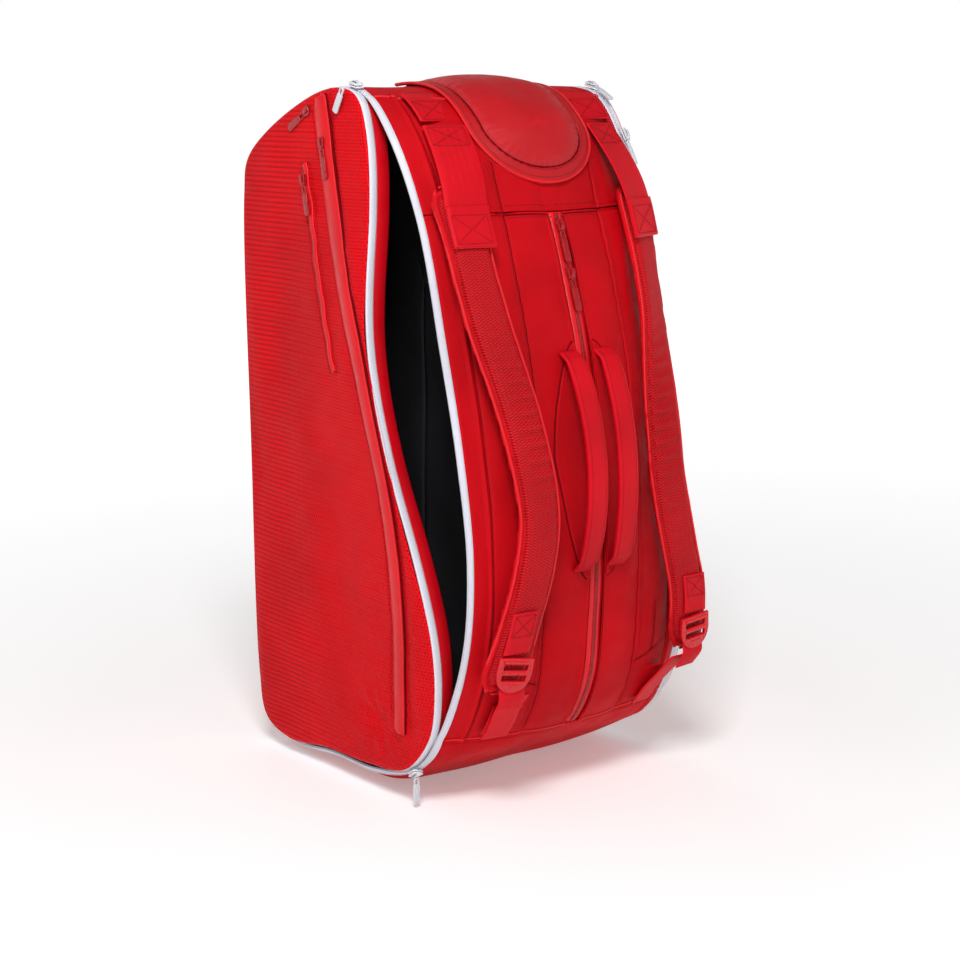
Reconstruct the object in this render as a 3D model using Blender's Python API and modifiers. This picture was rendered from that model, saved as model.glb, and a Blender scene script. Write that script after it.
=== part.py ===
"""Racket tournament bag standing on its end, as an assembly of separate sewn panels, zips and straps.

Frame: +Z up, the bag stands on its base at z = 0, the shoulder straps are on the -Y face,
and the compartment with the open zip is on the -X side. Metres throughout.
"""

import math

import bmesh
import bpy
from mathutils import Matrix, Vector

# Driving dimensions
HALF_WIDTH = 0.170          # from the middle of the bag to each side cover
PANEL_EDGE = 0.1565         # where the sewn carcass stops, beside the white zips
FRONT_EDGE = 0.1660         # the front panel has no zip beside it, so it reaches the covers
BACK_TAPE = (0.1579, 0.1648)
COVER_TAPE = (0.1651, 0.1697)
# A side cover's rings, as (distance in from its outline, x)
COVER_RINGS = [(0.0, 0.1733), (0.0035, 0.1752), (0.030, 0.1770), (0.080, 0.1783), (0.150, 0.1790)]
SKIN = 0.004                # padded cloth
THIN = 0.0025               # webbing and zip tape
GAP = 0.0004                # clearance between pieces that touch on the real bag
SEAM_TRIM = 0.0009

ZIP_RADIUS = 0.9362         # the centre zip lies on an arc about this centre
ZIP_CENTRE_Y = 0.7323
ZIP_CENTRE_Z = 0.2772
TAPE_HALF = 0.0095          # centre zip tape

FLARE = 0.046               # how far the open lip of the strap face leans out
COVER_FLOP = 0.030          # how far the open cover's lip leans sideways
COVER_PULL = 0.033          # and how far it is drawn towards the front
OPEN_LOW = 0.085            # height where the open zip starts
OPEN_HIGH = 0.765           # and ends

DIVIDER_X = 0.060
SEAM_Z = 0.638              # the double seam above the centre zip

FLAP_HALF = 0.0815
FLAP_BOTTOM_Z = 0.667
MOUTH_HALF = 0.070
FOLD_Y = 0.206              # the open cover's cloth lifts from this line on
BULGE = 1.15                # how round the opening's ends are
SKEW = 1.5                  # the cover is drawn furthest low down
LIFT_POWER = 1.7            # the cover's cloth lifts most at its lip
COVER_THICK = 0.0035
HINGE_Y = 0.2135            # side covers swing about their front edges
HINGE_X = 0.1700

RED = (0.62, 0.012, 0.02)
DEEP_RED = (0.50, 0.008, 0.015)
WHITE = (0.86, 0.86, 0.88)
GREY = (0.10, 0.10, 0.11)

BASE_POWER = 8.0            # how square the base is across
BASE_FLAT = 0.0003          # shaved off so that the middle of the base is truly flat

CENTRE = Vector((0.0, 0.02, 0.38))
COVER_MIDDLE = Vector((0.02, 0.37))


def zip_arc(z):
    """Depth of the centre zip's arc at a height."""
    return ZIP_CENTRE_Y - math.sqrt(ZIP_RADIUS ** 2 - (z - ZIP_CENTRE_Z) ** 2)


# The bag's outline seen from the side, as a closed loop of (name, y and z at the side edge, y and z
# at the middle). The two columns differ because the strap face and the top are crowned.
OUTLINE = [
    ("base_mid", (0.060, 0.027), (0.060, 0.000)),
    ("base_back", (-0.020, 0.030), (-0.025, 0.000)),
    ("heel_low", (-0.090, 0.041), (-0.098, 0.036)),
    ("heel_high", (-0.133, 0.084), (-0.163, 0.080)),
    ("low", (-0.153, 0.137), (zip_arc(0.136), 0.136)),
    ("belly", (-0.162, 0.200), (zip_arc(0.202), 0.202)),
    ("waist", (-0.153, 0.285), (zip_arc(0.287), 0.287)),
    ("mid", (-0.126, 0.390), (zip_arc(0.391), 0.391)),
    ("chest", (-0.100, 0.500), (zip_arc(0.500), 0.500)),
    ("shoulder", (-0.079, SEAM_Z), (zip_arc(SEAM_Z), SEAM_Z)),
    ("nape", (-0.047, 0.717), (-0.103, 0.710)),
    ("top_back", (-0.014, 0.758), (-0.055, 0.754)),
    ("top_mid", (0.022, 0.767), (0.000, 0.769)),
    ("top_front", (0.085, 0.754), (0.085, 0.759)),
    ("chamfer_end", (0.202, 0.690), (0.204, 0.692)),
    ("front_top", (0.212, 0.650), (0.216, 0.650)),
    ("front_mid", (0.209, 0.360), (0.218, 0.360)),
    ("front_low", (0.199, 0.085), (0.205, 0.080)),
    ("toe", (0.186, 0.034), (0.190, 0.018)),
    ("base_front", (0.140, 0.018), (0.140, 0.000)),
]
NAMES = [row[0] for row in OUTLINE]
KEYS = len(OUTLINE)


def key(name):
    return float(NAMES.index(name))


def spline(points, k):
    """Centripetal Catmull-Rom curve through a closed loop of 2D points, at a fractional index."""
    n = len(points)
    i = math.floor(k)
    t = k - i
    p = [Vector(points[(i + j) % n]) for j in (-1, 0, 1, 2)]
    knots = [0.0]
    for a, b in zip(p, p[1:]):
        knots.append(knots[-1] + math.sqrt((b - a).length))
    at = knots[1] + t * (knots[2] - knots[1])

    def mix(a, b, ta, tb):
        return a * ((tb - at) / (tb - ta)) + b * ((at - ta) / (tb - ta))

    a1 = mix(p[0], p[1], knots[0], knots[1])
    a2 = mix(p[1], p[2], knots[1], knots[2])
    a3 = mix(p[2], p[3], knots[2], knots[3])
    b1 = mix(a1, a2, knots[0], knots[2])
    b2 = mix(a2, a3, knots[1], knots[3])
    return mix(b1, b2, knots[1], knots[2])


EDGE = [row[1] for row in OUTLINE]
MIDDLE = [row[2] for row in OUTLINE]


def bump(z):
    """Zero where the left zip is closed, one at the middle of its opening."""
    t = (z - OPEN_LOW) / (OPEN_HIGH - OPEN_LOW)
    return math.sin(math.pi * t) ** BULGE if 0.0 < t < 1.0 else 0.0


def drawn(z):
    """How far the open cover's lip is drawn to the front, one where it is furthest."""
    t = (z - OPEN_LOW) / (OPEN_HIGH - OPEN_LOW)
    return math.sin(math.pi * t ** SKEW) ** BULGE if 0.0 < t < 1.0 else 0.0


def crown_power(k):
    """The strap face and the top are crowned across; the base is flat with raised side edges."""
    k = k % KEYS
    if k > KEYS / 2.0:
        k -= KEYS
    start, end = key("front_low") - KEYS, key("heel_high")
    share = min(1.0, max(0.0, k - start)) * min(1.0, max(0.0, end - k))
    return 2.0 + (BASE_POWER - 2.0) * share


def body(x, k):
    """Point on the bag's outer surface at x, a fractional outline index round it."""
    edge = spline(EDGE, k)
    middle = spline(MIDDLE, k)
    across = min(1.0, abs(x / HALF_WIDTH) ** crown_power(k))
    y, z = middle + (edge - middle) * across
    z -= BASE_FLAT
    behind = key("heel_low") < k % KEYS < key("top_back")
    if x < 0.0 and behind:
        y -= FLARE * bump(z) * across
    return Vector((x, y, max(z, 0.0)))


def normal(x, k):
    """Outward direction there."""
    step = 1e-3
    along = body(x, k + step) - body(x, k - step)
    across = body(x + step, k) - body(x - step, k)
    out = along.cross(across).normalized()
    return out if out.dot(body(x, k) - CENTRE) > 0.0 else -out


def proud(x, k, height):
    return body(x, k) + normal(x, k) * height


def key_at(x, z):
    """Outline index on the strap face at a height."""
    low, high = key("heel_low") - 0.5, key("top_mid")
    for _ in range(40):
        half = (low + high) / 2.0
        if body(x, half).z < z:
            low = half
        else:
            high = half
    return (low + high) / 2.0


def face(x, z, height=0.0):
    """Point over the strap face at x and z, a height off it."""
    return proud(x, key_at(x, z), height)


def trim(x, k, sign, amount=SEAM_TRIM):
    """Outline index moved by a small real distance."""
    step = 1e-3
    speed = (body(x, k + step) - body(x, k - step)).length / (2.0 * step)
    return k + sign * amount / speed


def opened(point):
    """Moves a point of the closed left cover to where the open zip lets it hang."""
    edge_y = spline(EDGE, key_at(-HALF_WIDTH, min(max(point.z, 0.03), 0.76))).x
    share = min(1.0, max(0.0, (FOLD_Y - point.y) / (FOLD_Y - edge_y)))
    lift = share ** LIFT_POWER
    aside = COVER_FLOP * bump(point.z) * lift
    return Vector((point.x - aside, point.y + COVER_PULL * drawn(point.z) * lift, point.z))


# Scene set-up and small helpers
def start():
    for item in list(bpy.data.objects):
        bpy.data.objects.remove(item, do_unlink=True)
    made = bpy.data.collections.new("racket_tournament_bag")
    bpy.context.scene.collection.children.link(made)
    return made


BAG = start()
PAINTS = {}


def paint(name, colour, roughness, metallic=0.0):
    if name not in PAINTS:
        made = bpy.data.materials.new(name)
        made.use_nodes = True
        shader = made.node_tree.nodes["Principled BSDF"]
        shader.inputs["Base Color"].default_value = (*colour, 1.0)
        shader.inputs["Roughness"].default_value = roughness
        shader.inputs["Metallic"].default_value = metallic
        PAINTS[name] = made
    return PAINTS[name]


def finish(name, bm, look, pivot=None):
    """Turns a bmesh into a named object whose origin is its pivot."""
    pivot = pivot or Vector((0.0, 0.0, 0.0))
    bmesh.ops.translate(bm, vec=-pivot, verts=bm.verts)
    mesh = bpy.data.meshes.new(name)
    bm.to_mesh(mesh)
    bm.free()
    mesh.materials.append(paint(*look))
    item = bpy.data.objects.new(name, mesh)
    item.location = pivot
    BAG.objects.link(item)
    return item


def thicken(item, thickness, offset=-1.0):
    solid = item.modifiers.new("thickness", "SOLIDIFY")
    solid.thickness = thickness
    solid.offset = offset
    solid.use_even_offset = True
    return item


def face_out(bm, inside):
    """Makes an open surface's faces point away from an inner point."""
    bm.normal_update()
    total = sum(f.normal.dot(f.calc_center_median() - inside) * f.calc_area() for f in bm.faces)
    if total < 0.0:
        bmesh.ops.reverse_faces(bm, faces=bm.faces)


def sheet(name, cells, surface, thickness, look, keep=None, pivot=None, offset=-1.0, inside=CENTRE):
    """A sewn panel: a grid laid over surface(u, v), with u and v from 0 to 1, then thickened."""
    bm = bmesh.new()
    bmesh.ops.create_grid(bm, x_segments=cells[0], y_segments=cells[1], size=0.5)
    if keep:
        lost = []
        for f in bm.faces:
            centre = f.calc_center_median()
            if not keep(centre.x + 0.5, centre.y + 0.5):
                lost.append(f)
        bmesh.ops.delete(bm, geom=lost, context="FACES")
    for v in bm.verts:
        v.co = surface(v.co.x + 0.5, v.co.y + 0.5)
    face_out(bm, inside)
    return thicken(finish(name, bm, look, pivot), thickness, offset)


def between(a, b, t):
    return a + (b - a) * t


def panel(name, keys, xs, cells, look, thickness=SKIN, keep=None, height=0.0, offset=-1.0):
    """A patch of the bag's surface between two outline indices and two x."""
    def surface(u, v):
        x = between(xs[0], xs[1], u)
        k0 = trim(x, keys[0], 1.0)
        k1 = trim(x, keys[1], -1.0)
        return proud(x, between(k0, k1, v), height)
    return sheet(name, cells, surface, thickness, look, keep=keep, offset=offset)


CLOTH = ("red_cloth", RED, 0.7)
MESH_CLOTH = ("red_mesh", RED, 0.75)
WEBBING = ("red_webbing", DEEP_RED, 0.65)
TRIM = ("red_zip", DEEP_RED, 0.5)
WHITE_ZIP = ("white_zip", WHITE, 0.45)
LINING = ("grey_lining", GREY, 0.6)
PLASTIC = ("red_plastic", RED, 0.35)
SIDES = (("left", -1.0), ("right", 1.0))


# Sewn carcass
def make_carcass():
    wide = (-PANEL_EDGE, PANEL_EDGE)
    panel("base_panel", (key("front_low") - KEYS, key("heel_high")), wide, (4, 18), CLOTH)
    panel("front_panel", (key("front_top"), key("front_low")), (-FRONT_EDGE, FRONT_EDGE), (4, 5), MESH_CLOTH)
    mouth_top = key("top_mid") + 0.35
    mouth_low = key("shoulder") + 0.47
    columns = 22
    rows = 10

    def over_mouth(u, k):
        t = min(1.0, (k - mouth_low) / 0.6)
        half = MOUTH_HALF * math.sqrt(max(0.0, 1.0 - (1.0 - t) ** 2))
        return abs(between(wide[0], wide[1], u)) < half

    def keep_top(u, v):
        k = between(key("top_back"), key("front_top"), v)
        return not (over_mouth(u, k) and k < mouth_top)

    def keep_yoke(u, v):
        k = between(key("shoulder"), key("top_back"), v)
        return not (k > mouth_low and over_mouth(u, k))

    panel("top_end_panel", (key("top_back"), key("front_top")), wide, (columns, rows), CLOTH, keep=keep_top)
    panel("back_yoke", (key("shoulder"), key("top_back")), wide, (columns, 8), CLOTH, keep=keep_yoke)
    for side, s in SIDES:
        xs = (s * (TAPE_HALF + GAP), s * PANEL_EDGE)
        panel(f"back_panel_{side}", (key("heel_high"), key("shoulder")), xs, (7, 18), CLOTH)


def make_centre_zip():
    keys = (key("heel_high"), key("shoulder"))
    panel("centre_zip_tape", keys, (-TAPE_HALF, TAPE_HALF), (2, 16), TRIM, thickness=THIN, height=-0.001)


def make_dividers():
    """The padded walls between the three compartments, flat and clear of the shoe pocket."""
    for side, s in SIDES:
        x = s * DIVIDER_X
        points = []
        steps = 34
        for i in range(steps):
            k = i * KEYS / steps
            high = key("shoulder") < k < key("chamfer_end") - 0.5
            inset = 0.050 if high else 0.008
            points.append(proud(x, k, -inset))
        curve = bpy.data.curves.new(f"{side}_divider", "CURVE")
        curve.dimensions = "2D"
        curve.fill_mode = "BOTH"
        curve.extrude = 0.0015
        line = curve.splines.new("POLY")
        line.points.add(len(points) - 1)
        for slot, p in zip(line.points, points):
            slot.co = (p.y, p.z, 0.0, 1.0)
        line.use_cyclic_u = True
        curve.materials.append(paint(*LINING))
        item = bpy.data.objects.new(f"{side}_divider", curve)
        item.matrix_world = Matrix(((0, 0, 1, x), (1, 0, 0, 0), (0, 1, 0, 0), (0, 0, 0, 1)))
        BAG.objects.link(item)


def make_shoe_pocket():
    """Bowl of lining under the flap, and the flap itself, which lifts about the top end."""
    k0 = key("shoulder") + 0.44
    k1 = key("top_mid") + 0.43
    half = MOUTH_HALF + 0.006

    def bowl(u, v):
        rim = min(u, 1.0 - u, v, 1.0 - v) * 2.0
        depth = SKIN + 0.0008 + 0.030 * math.sin(math.pi / 2.0 * min(1.0, rim * 1.6))
        return proud(between(-half, half, u), between(k0, k1, v), -depth)

    sheet("shoe_pocket", (10, 10), bowl, 0.0012, LINING)
    low = key_at(0.0, FLAP_BOTTOM_Z)
    top = key("top_mid") + 0.5
    curl = 0.30

    def flap(u, v):
        half_here = FLAP_HALF
        if v < curl:
            half_here *= math.sqrt(max(0.12, 1.0 - (1.0 - v / curl) ** 2))
        return proud(half_here * (2.0 * u - 1.0), between(low, top, v), 0.0012)

    hinge = Vector((0.0, body(FLAP_HALF, top).y + 0.001, proud(0.0, top, 0.0042).z))
    sheet("shoe_flap", (8, 14), flap, 0.003, CLOTH, pivot=hinge, offset=1.0)


# Side covers and their zips
def cover_loop(inset, x, s, steps=40):
    """Outline of a side cover, drawn in by a distance, at one x."""
    points = []
    for i in range(steps):
        p = spline(EDGE, i * KEYS / steps)
        p = p + (COVER_MIDDLE - p) * min(1.0, inset / (COVER_MIDDLE - p).length)
        point = Vector((s * x, p.x, p.y))
        points.append(opened(point) if s < 0.0 else point)
    return points


def make_cover(side, s):
    bm = bmesh.new()
    loops = []
    for inset, x in COVER_RINGS:
        loops.append([bm.verts.new(p) for p in cover_loop(inset, x, s)])
    for lower, upper in zip(loops, loops[1:]):
        count = len(lower)
        for i in range(count):
            j = (i + 1) % count
            bm.faces.new((lower[i], lower[j], upper[j], upper[i]))
    centre = bm.verts.new(sum((v.co for v in loops[-1]), Vector()) / len(loops[-1]))
    for i in range(len(loops[-1])):
        bm.faces.new((loops[-1][i], loops[-1][(i + 1) % len(loops[-1])], centre))
    face_out(bm, CENTRE)
    pivot = Vector((s * HINGE_X, HINGE_Y, 0.0))
    thicken(finish(f"{side}_cover", bm, MESH_CLOTH, pivot), COVER_THICK)


def make_white_zip(side, s):
    keys = (key("front_low") - KEYS + 0.05, key("front_top") - 0.05)

    def back_half(u, v):
        return proud(s * between(*BACK_TAPE, u), between(*keys, v), GAP)

    def cover_half(u, v):
        edge = spline(EDGE, between(*keys, v))
        point = Vector((s * between(*COVER_TAPE, u), edge.x, edge.y))
        return opened(point) if s < 0.0 else point

    sheet(f"{side}_zip_back", (1, 54), back_half, THIN, WHITE_ZIP)
    pivot = Vector((s * HINGE_X, HINGE_Y, 0.0))
    sheet(f"{side}_zip_cover", (1, 54), cover_half, THIN, WHITE_ZIP, pivot=pivot)


# Lines sewn on the side covers, as (y, z) from top to bottom
STRIP_LINE = [
    (0.0415, 0.742), (0.010, 0.670), (-0.020, 0.608), (-0.052, 0.547), (-0.079, 0.495), (-0.100, 0.435),
    (-0.1165, 0.365), (-0.1195, 0.292), (-0.1120, 0.216), (-0.0985, 0.137), (-0.0900, 0.085),
]
EDGE_STEPS = 160
STRIP_HALF = 0.010
WELT_HALF = 0.0035
STRIP_LIFT = 0.0010
STRIP_THICK = 0.0022
POCKET_LINE = [(0.069, 0.686), (0.0405, 0.615), (0.0105, 0.542), (-0.0185, 0.467)]


def on_cover(y, z, s, height):
    """Point over a side cover's outer face."""
    reach = Vector((y, z)) - COVER_MIDDLE
    edge_points = [spline(EDGE, i * KEYS / EDGE_STEPS) for i in range(EDGE_STEPS)]
    best = min(edge_points, key=lambda p: (p - COVER_MIDDLE).angle(reach))
    inset = (best - COVER_MIDDLE).length - reach.length
    x = COVER_RINGS[-1][1]
    for (a, xa), (b, xb) in zip(COVER_RINGS, COVER_RINGS[1:]):
        if a <= inset < b:
            x = between(xa, xb, (inset - a) / (b - a))
    point = Vector((s * (x + height), y, z))
    return opened(point) if s < 0.0 else point


def along(line, t):
    """Point at a share of a smooth open line."""
    inner = [Vector(p) for p in line]
    ends = [2 * inner[0] - inner[1], *inner, 2 * inner[-1] - inner[-2]]
    k = 1.0 + min(max(t, 0.0), 0.99999) * (len(line) - 1)
    return spline(ends, k)


def make_side_strip(side, s, name, line, half, cells):
    def surface(u, v):
        p = along(line, v)
        ahead = along(line, min(v + 0.02, 1.0)) - along(line, max(v - 0.02, 0.0))
        across = Vector((-ahead.y, ahead.x)).normalized() * half * (2.0 * u - 1.0)
        return on_cover(p.x + across.x, p.y + across.y, s, STRIP_LIFT)

    sheet(name, cells, surface, STRIP_THICK, TRIM, offset=1.0, pivot=Vector((s * HINGE_X, HINGE_Y, 0.0)))


# Zip sliders and their pull tabs, each as its width, length and thickness
RED_SIZE = (0.009, 0.012, 0.0045)
RED_TAB = (0.0075, 0.034, 0.0022)
WHITE_SIZE = (0.0125, 0.015, 0.006)
WHITE_TAB = (0.009, 0.030, 0.0028)
SHORT_TAB = (0.009, 0.028, 0.0028)
WHITE_LIFT = 0.0035
CENTRE_LIFT = 0.0012
SLIDER_LIFT = 0.0048        # red sliders of the side covers, over the cloth
TAB_TAPER = 1.25
CENTRE_SLIDERS = (("centre_upper", 0.622), ("centre_lower", 0.572))
COVER_SLIDERS = (("strip", STRIP_LINE, 0.045), ("pocket", POCKET_LINE, 0.08))
TOP_SLIDER_Z = 0.7645
RIGHT_LOW_SLIDER_Z = 0.712
BOTTOM_SLIDER_Z = 0.043
LEFT_TAB_OFFSET = Vector((-0.0178, 0.0, -0.002))
BOTTOM_TAB_OFFSET = Vector((0.0, -0.001, -0.0025))
CORNER_SLIDER = (0.070, 0.742)
CORNER_SLOPE = Vector((0.0, -1.0, 0.55))


def frame_at(origin, lengthwise, outward):
    """Matrix whose Y runs along the zip and whose Z points out of the bag."""
    y = lengthwise.normalized()
    z = (outward - y * outward.dot(y)).normalized()
    x = y.cross(z)
    turn = Matrix((x, y, z)).transposed().to_4x4()
    return Matrix.Translation(origin) @ turn


def block(name, size, centre, look, matrix, bevel, taper=1.0):
    bm = bmesh.new()
    bmesh.ops.create_cube(bm, size=1.0)
    for v in bm.verts:
        wide = taper if v.co.y < 0.0 else 1.0
        v.co = Vector((v.co.x * size[0] * wide, v.co.y * size[1], v.co.z * size[2])) + Vector(centre)
    item = finish(name, bm, look)
    item.matrix_world = matrix
    edges = item.modifiers.new("edges", "BEVEL")
    edges.width = bevel
    edges.segments = 1
    return item


def make_slider(name, matrix, look, size=RED_SIZE):
    """A slider on its zip. The matrix's origin is on the tape and its Z points out."""
    block(f"{name}_slider", size, (0.0, 0.0, size[2] / 2.0), look, matrix, 0.0010)


def make_tab(name, matrix, look, size=RED_TAB):
    """A pull tab that swings about the matrix's X from lying along its -Y."""
    middle = (0.0, -(size[1] / 2.0 - size[2] / 2.0), 0.0)
    block(f"{name}_tab", size, middle, look, matrix, 0.0007, TAB_TAPER)


def below(matrix, slider_length, tab_thick):
    """The pivot just off a slider's lower end."""
    shift = -(slider_length + tab_thick) / 2.0 - GAP
    return matrix @ Matrix.Translation((0.0, shift, tab_thick / 2.0 + 2.0 * GAP))


def make_red_slider(name, matrix):
    make_slider(name, matrix, TRIM)
    make_tab(name, below(matrix, RED_SIZE[1], RED_TAB[2]), TRIM)


def make_centre_sliders():
    for name, z in CENTRE_SLIDERS:
        k = key_at(0.0, z)
        tangent = body(0.0, k + 0.01) - body(0.0, k - 0.01)
        make_red_slider(name, frame_at(proud(0.0, k, CENTRE_LIFT), tangent, normal(0.0, k)))


def make_white_slider(name, s, z):
    """A slider across both halves of a white zip; returns its matrix."""
    x = s * (BACK_TAPE[1] + COVER_TAPE[0]) / 2.0
    k = key_at(x, z)
    tangent = body(x, k + 0.01) - body(x, k - 0.01)
    matrix = frame_at(proud(x, k, WHITE_LIFT), tangent, normal(x, k))
    make_slider(name, matrix, WHITE_ZIP, WHITE_SIZE)
    return matrix


def make_white_sliders():
    up = Vector((0.0, 0.0, 1.0))
    matrix = make_white_slider("left_top", -1.0, TOP_SLIDER_Z)
    at = matrix.translation + LEFT_TAB_OFFSET
    hang = frame_at(at, Vector((0.0, -0.5, 0.87)), Vector((-1.0, 0.0, 0.0)))
    make_tab("left_top", hang, WHITE_ZIP, WHITE_TAB)
    matrix = make_white_slider("left_bottom", -1.0, BOTTOM_SLIDER_Z)
    at = matrix @ Vector((0.0, 0.0, WHITE_SIZE[2])) + BOTTOM_TAB_OFFSET
    make_tab("left_bottom", frame_at(at, up, Vector((0.0, -1.0, 0.0))), WHITE_ZIP, SHORT_TAB)
    matrix = make_white_slider("right_low", 1.0, RIGHT_LOW_SLIDER_Z)
    make_tab("right_low", below(matrix, WHITE_SIZE[1], WHITE_TAB[2]), WHITE_ZIP, WHITE_TAB)
    matrix = make_white_slider("right_top", 1.0, TOP_SLIDER_Z)
    at = below(matrix, WHITE_SIZE[1], WHITE_TAB[2]).translation
    hang = Vector((0.0, 0.87, 0.49))
    make_tab("right_top", frame_at(at, hang, Vector((0.0, -0.49, 0.87))), WHITE_ZIP, WHITE_TAB)


def make_cover_sliders():
    for side, s in SIDES:
        for name, line, share in COVER_SLIDERS:
            here = along(line, share)
            ahead = along(line, share + 0.02)
            point = on_cover(here.x, here.y, s, SLIDER_LIFT)
            low = on_cover(ahead.x, ahead.y, s, SLIDER_LIFT)
            make_red_slider(f"{side}_{name}", frame_at(point, point - low, Vector((s, 0.0, 0.0))))
    corner = on_cover(*CORNER_SLIDER, -1.0, STRIP_LIFT)
    make_red_slider("left_corner", frame_at(corner, CORNER_SLOPE, Vector((-1.0, 0.0, 0.0))))


# Carry handles, straps and their hardware
def band(name, stations, thickness, look, pivot=None, columns=2, crown=0.0, offset=0.0):
    """A strap laid through stations of (centre, half width vector), with an optional crown."""
    def surface(u, v):
        k = min(v, 0.99999) * (len(stations) - 1)
        centres = [s[0] for s in stations]
        halves = [s[1] for s in stations]
        centre = smooth(centres, k)
        half = smooth(halves, k)
        swell = Vector((0.0, -crown * (1.0 - (2.0 * u - 1.0) ** 2), 0.0))
        return centre + half * (2.0 * u - 1.0) + swell
    cells = (columns, 5 * (len(stations) - 1))
    return sheet(name, cells, surface, thickness, look, pivot=pivot, offset=offset)


def smooth(points, k):
    """Catmull-Rom through an open list of 3D points."""
    padded = [2 * points[0] - points[1], *points, 2 * points[-1] - points[-2]]
    i = int(k)
    t = k - i
    a, b, c, d = padded[i:i + 4]
    square = (2 * a - 5 * b + 4 * c - d) * t * t
    cube = (3 * b - a - 3 * c + d) * t ** 3
    return 0.5 * (2 * b + (c - a) * t + square + cube)


HANDLE_TOP_Z = 0.492
HANDLE_LOW_Z = 0.262
HANDLE_X = 0.024
HANDLE_REACH = 0.0185
HANDLE_FOOT = 0.0095
HANDLE_HALF = 0.013
HANDLE_THICK = 0.005
HANDLE_PINCH = 0.004        # the grips lean towards each other
HANDLE_STEPS = 8


def make_handles():
    for side, s in SIDES:
        top = face(s * HANDLE_X, HANDLE_TOP_Z)
        low = face(s * HANDLE_X, HANDLE_LOW_Z)
        stations = []
        for i in range(HANDLE_STEPS + 1):
            t = i / HANDLE_STEPS
            z = between(HANDLE_TOP_Z, HANDLE_LOW_Z, t)
            lift = math.sin(math.pi * t) ** 0.75
            x = s * (HANDLE_X - HANDLE_PINCH * lift)
            centre = face(x, z, HANDLE_FOOT + HANDLE_REACH * lift)
            stations.append((centre, Vector((HANDLE_HALF, 0.0, 0.0))))
        band(f"{side}_carry_handle", stations, HANDLE_THICK, WEBBING, pivot=(top + low) / 2.0)


# The left shoulder pad's middle line as (x, z, height over the strap face); the right one mirrors it
PAD_LINE = [
    (-0.127, 0.665, 0.0120), (-0.127, 0.600, 0.0160), (-0.123, 0.530, 0.020), (-0.106, 0.430, 0.023),
    (-0.094, 0.340, 0.023), (-0.101, 0.275, 0.021), (-0.116, 0.215, 0.019), (-0.129, 0.145, 0.017),
]
PAD_HALF = 0.031
PAD_THICK = 0.011
TOP_ANCHOR = (0.108, 0.744)
LOW_ANCHOR = (0.103, 0.108)
STRAP_LEAN = 0.75
# The right strap hangs away from the face below its middle and comes back at its foot
STRAP_SPLAY = 0.018
SPLAY_TOP_Z = 0.45
SPLAY_LOW_Z = 0.10
SPLAY_RUN = 0.25
SPLAY_END = 0.05

# Where the right strap starts to lean with the face, and over what height it does so
LEAN_HIGH = (0.40, 0.12)
LEAN_LOW = (0.15, 0.04)

# Flat webbing of each strap as (x, z, height over the face), from top to bottom
WEB_ROUTE = [
    (0.109, 0.728, 0.0080), (0.114, 0.700, 0.0140), (0.120, 0.670, 0.0225), (0.125, 0.640, 0.0250),
    (0.126, 0.606, 0.0270),
]
LOOP_ROUTE = [(0.117, 0.235, 0.0315), (0.121, 0.212, 0.0305), (0.124, 0.1905, 0.0295)]
TAIL_ROUTE = [(0.113, 0.1405, 0.0250), (0.112, 0.122, 0.0165), (0.108, 0.102, 0.0105), (0.106, 0.082, 0.0080)]
WEB_HALF = 0.0245
LOOP_HALF = 0.016
TAIL_HALF = 0.0155
WEB_THICK = 0.0018
ANCHOR_XS = (0.0845, 0.1325)
ANCHOR_FOOT = (0.108, 0.735)

LOCK_AT = (0.125, 0.167, 0.0305)
LOCK_UP = (0.123, 0.185, 0.0305)
LOCK_SIZE = (0.042, 0.040, 0.005)
LOCK_TAPER = 0.82
SLOT_SIZE = (0.029, 0.0065, 0.02)
SLOT_YS = (0.009, -0.003)

# The wing's foot and head, each as its x, z and half width
WING_FOOT = (0.100, 0.092, 0.027)
WING_HEAD = (0.107, 0.128, 0.0165)


def rise(t):
    """Goes smoothly from zero to one."""
    t = min(1.0, max(0.0, t))
    return t * t * (3.0 - 2.0 * t)


def splay(z, s):
    """How far the right strap hangs outwards of its mirror image."""
    if s < 0.0:
        return 0.0
    fall = rise((z - SPLAY_LOW_Z) / SPLAY_END)
    return STRAP_SPLAY * rise((SPLAY_TOP_Z - z) / SPLAY_RUN) * fall


def lean(z, s):
    """The left strap leans with the face; the right one only where it lies on it, at its two ends."""
    if s < 0.0:
        return STRAP_LEAN
    upper = rise((z - LEAN_HIGH[0]) / LEAN_HIGH[1])
    lower = rise((LEAN_LOW[0] - z) / LEAN_LOW[1])
    return STRAP_LEAN * max(upper, lower)


def over_face(x, z, height, s):
    """Strap points hold one height over the closed face on both sides of the bag."""
    k = key_at(x * s, z)
    point = body(x * s, k)
    return Vector((point.x + splay(z, s), point.y - height, point.z))


def strap_half(x, z, half, s):
    """Half width of a strap, leaning with the crowned face under it."""
    inner = body(x * s - half, key_at(x * s - half, z))
    outer = body(x * s + half, key_at(x * s + half, z))
    return Vector((half, lean(z, s) * (outer.y - inner.y) / 2.0, 0.0))


def strap_pivot(s):
    top = face(s * TOP_ANCHOR[0], TOP_ANCHOR[1])
    low = face(s * LOW_ANCHOR[0], LOW_ANCHOR[1])
    return top, low


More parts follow.
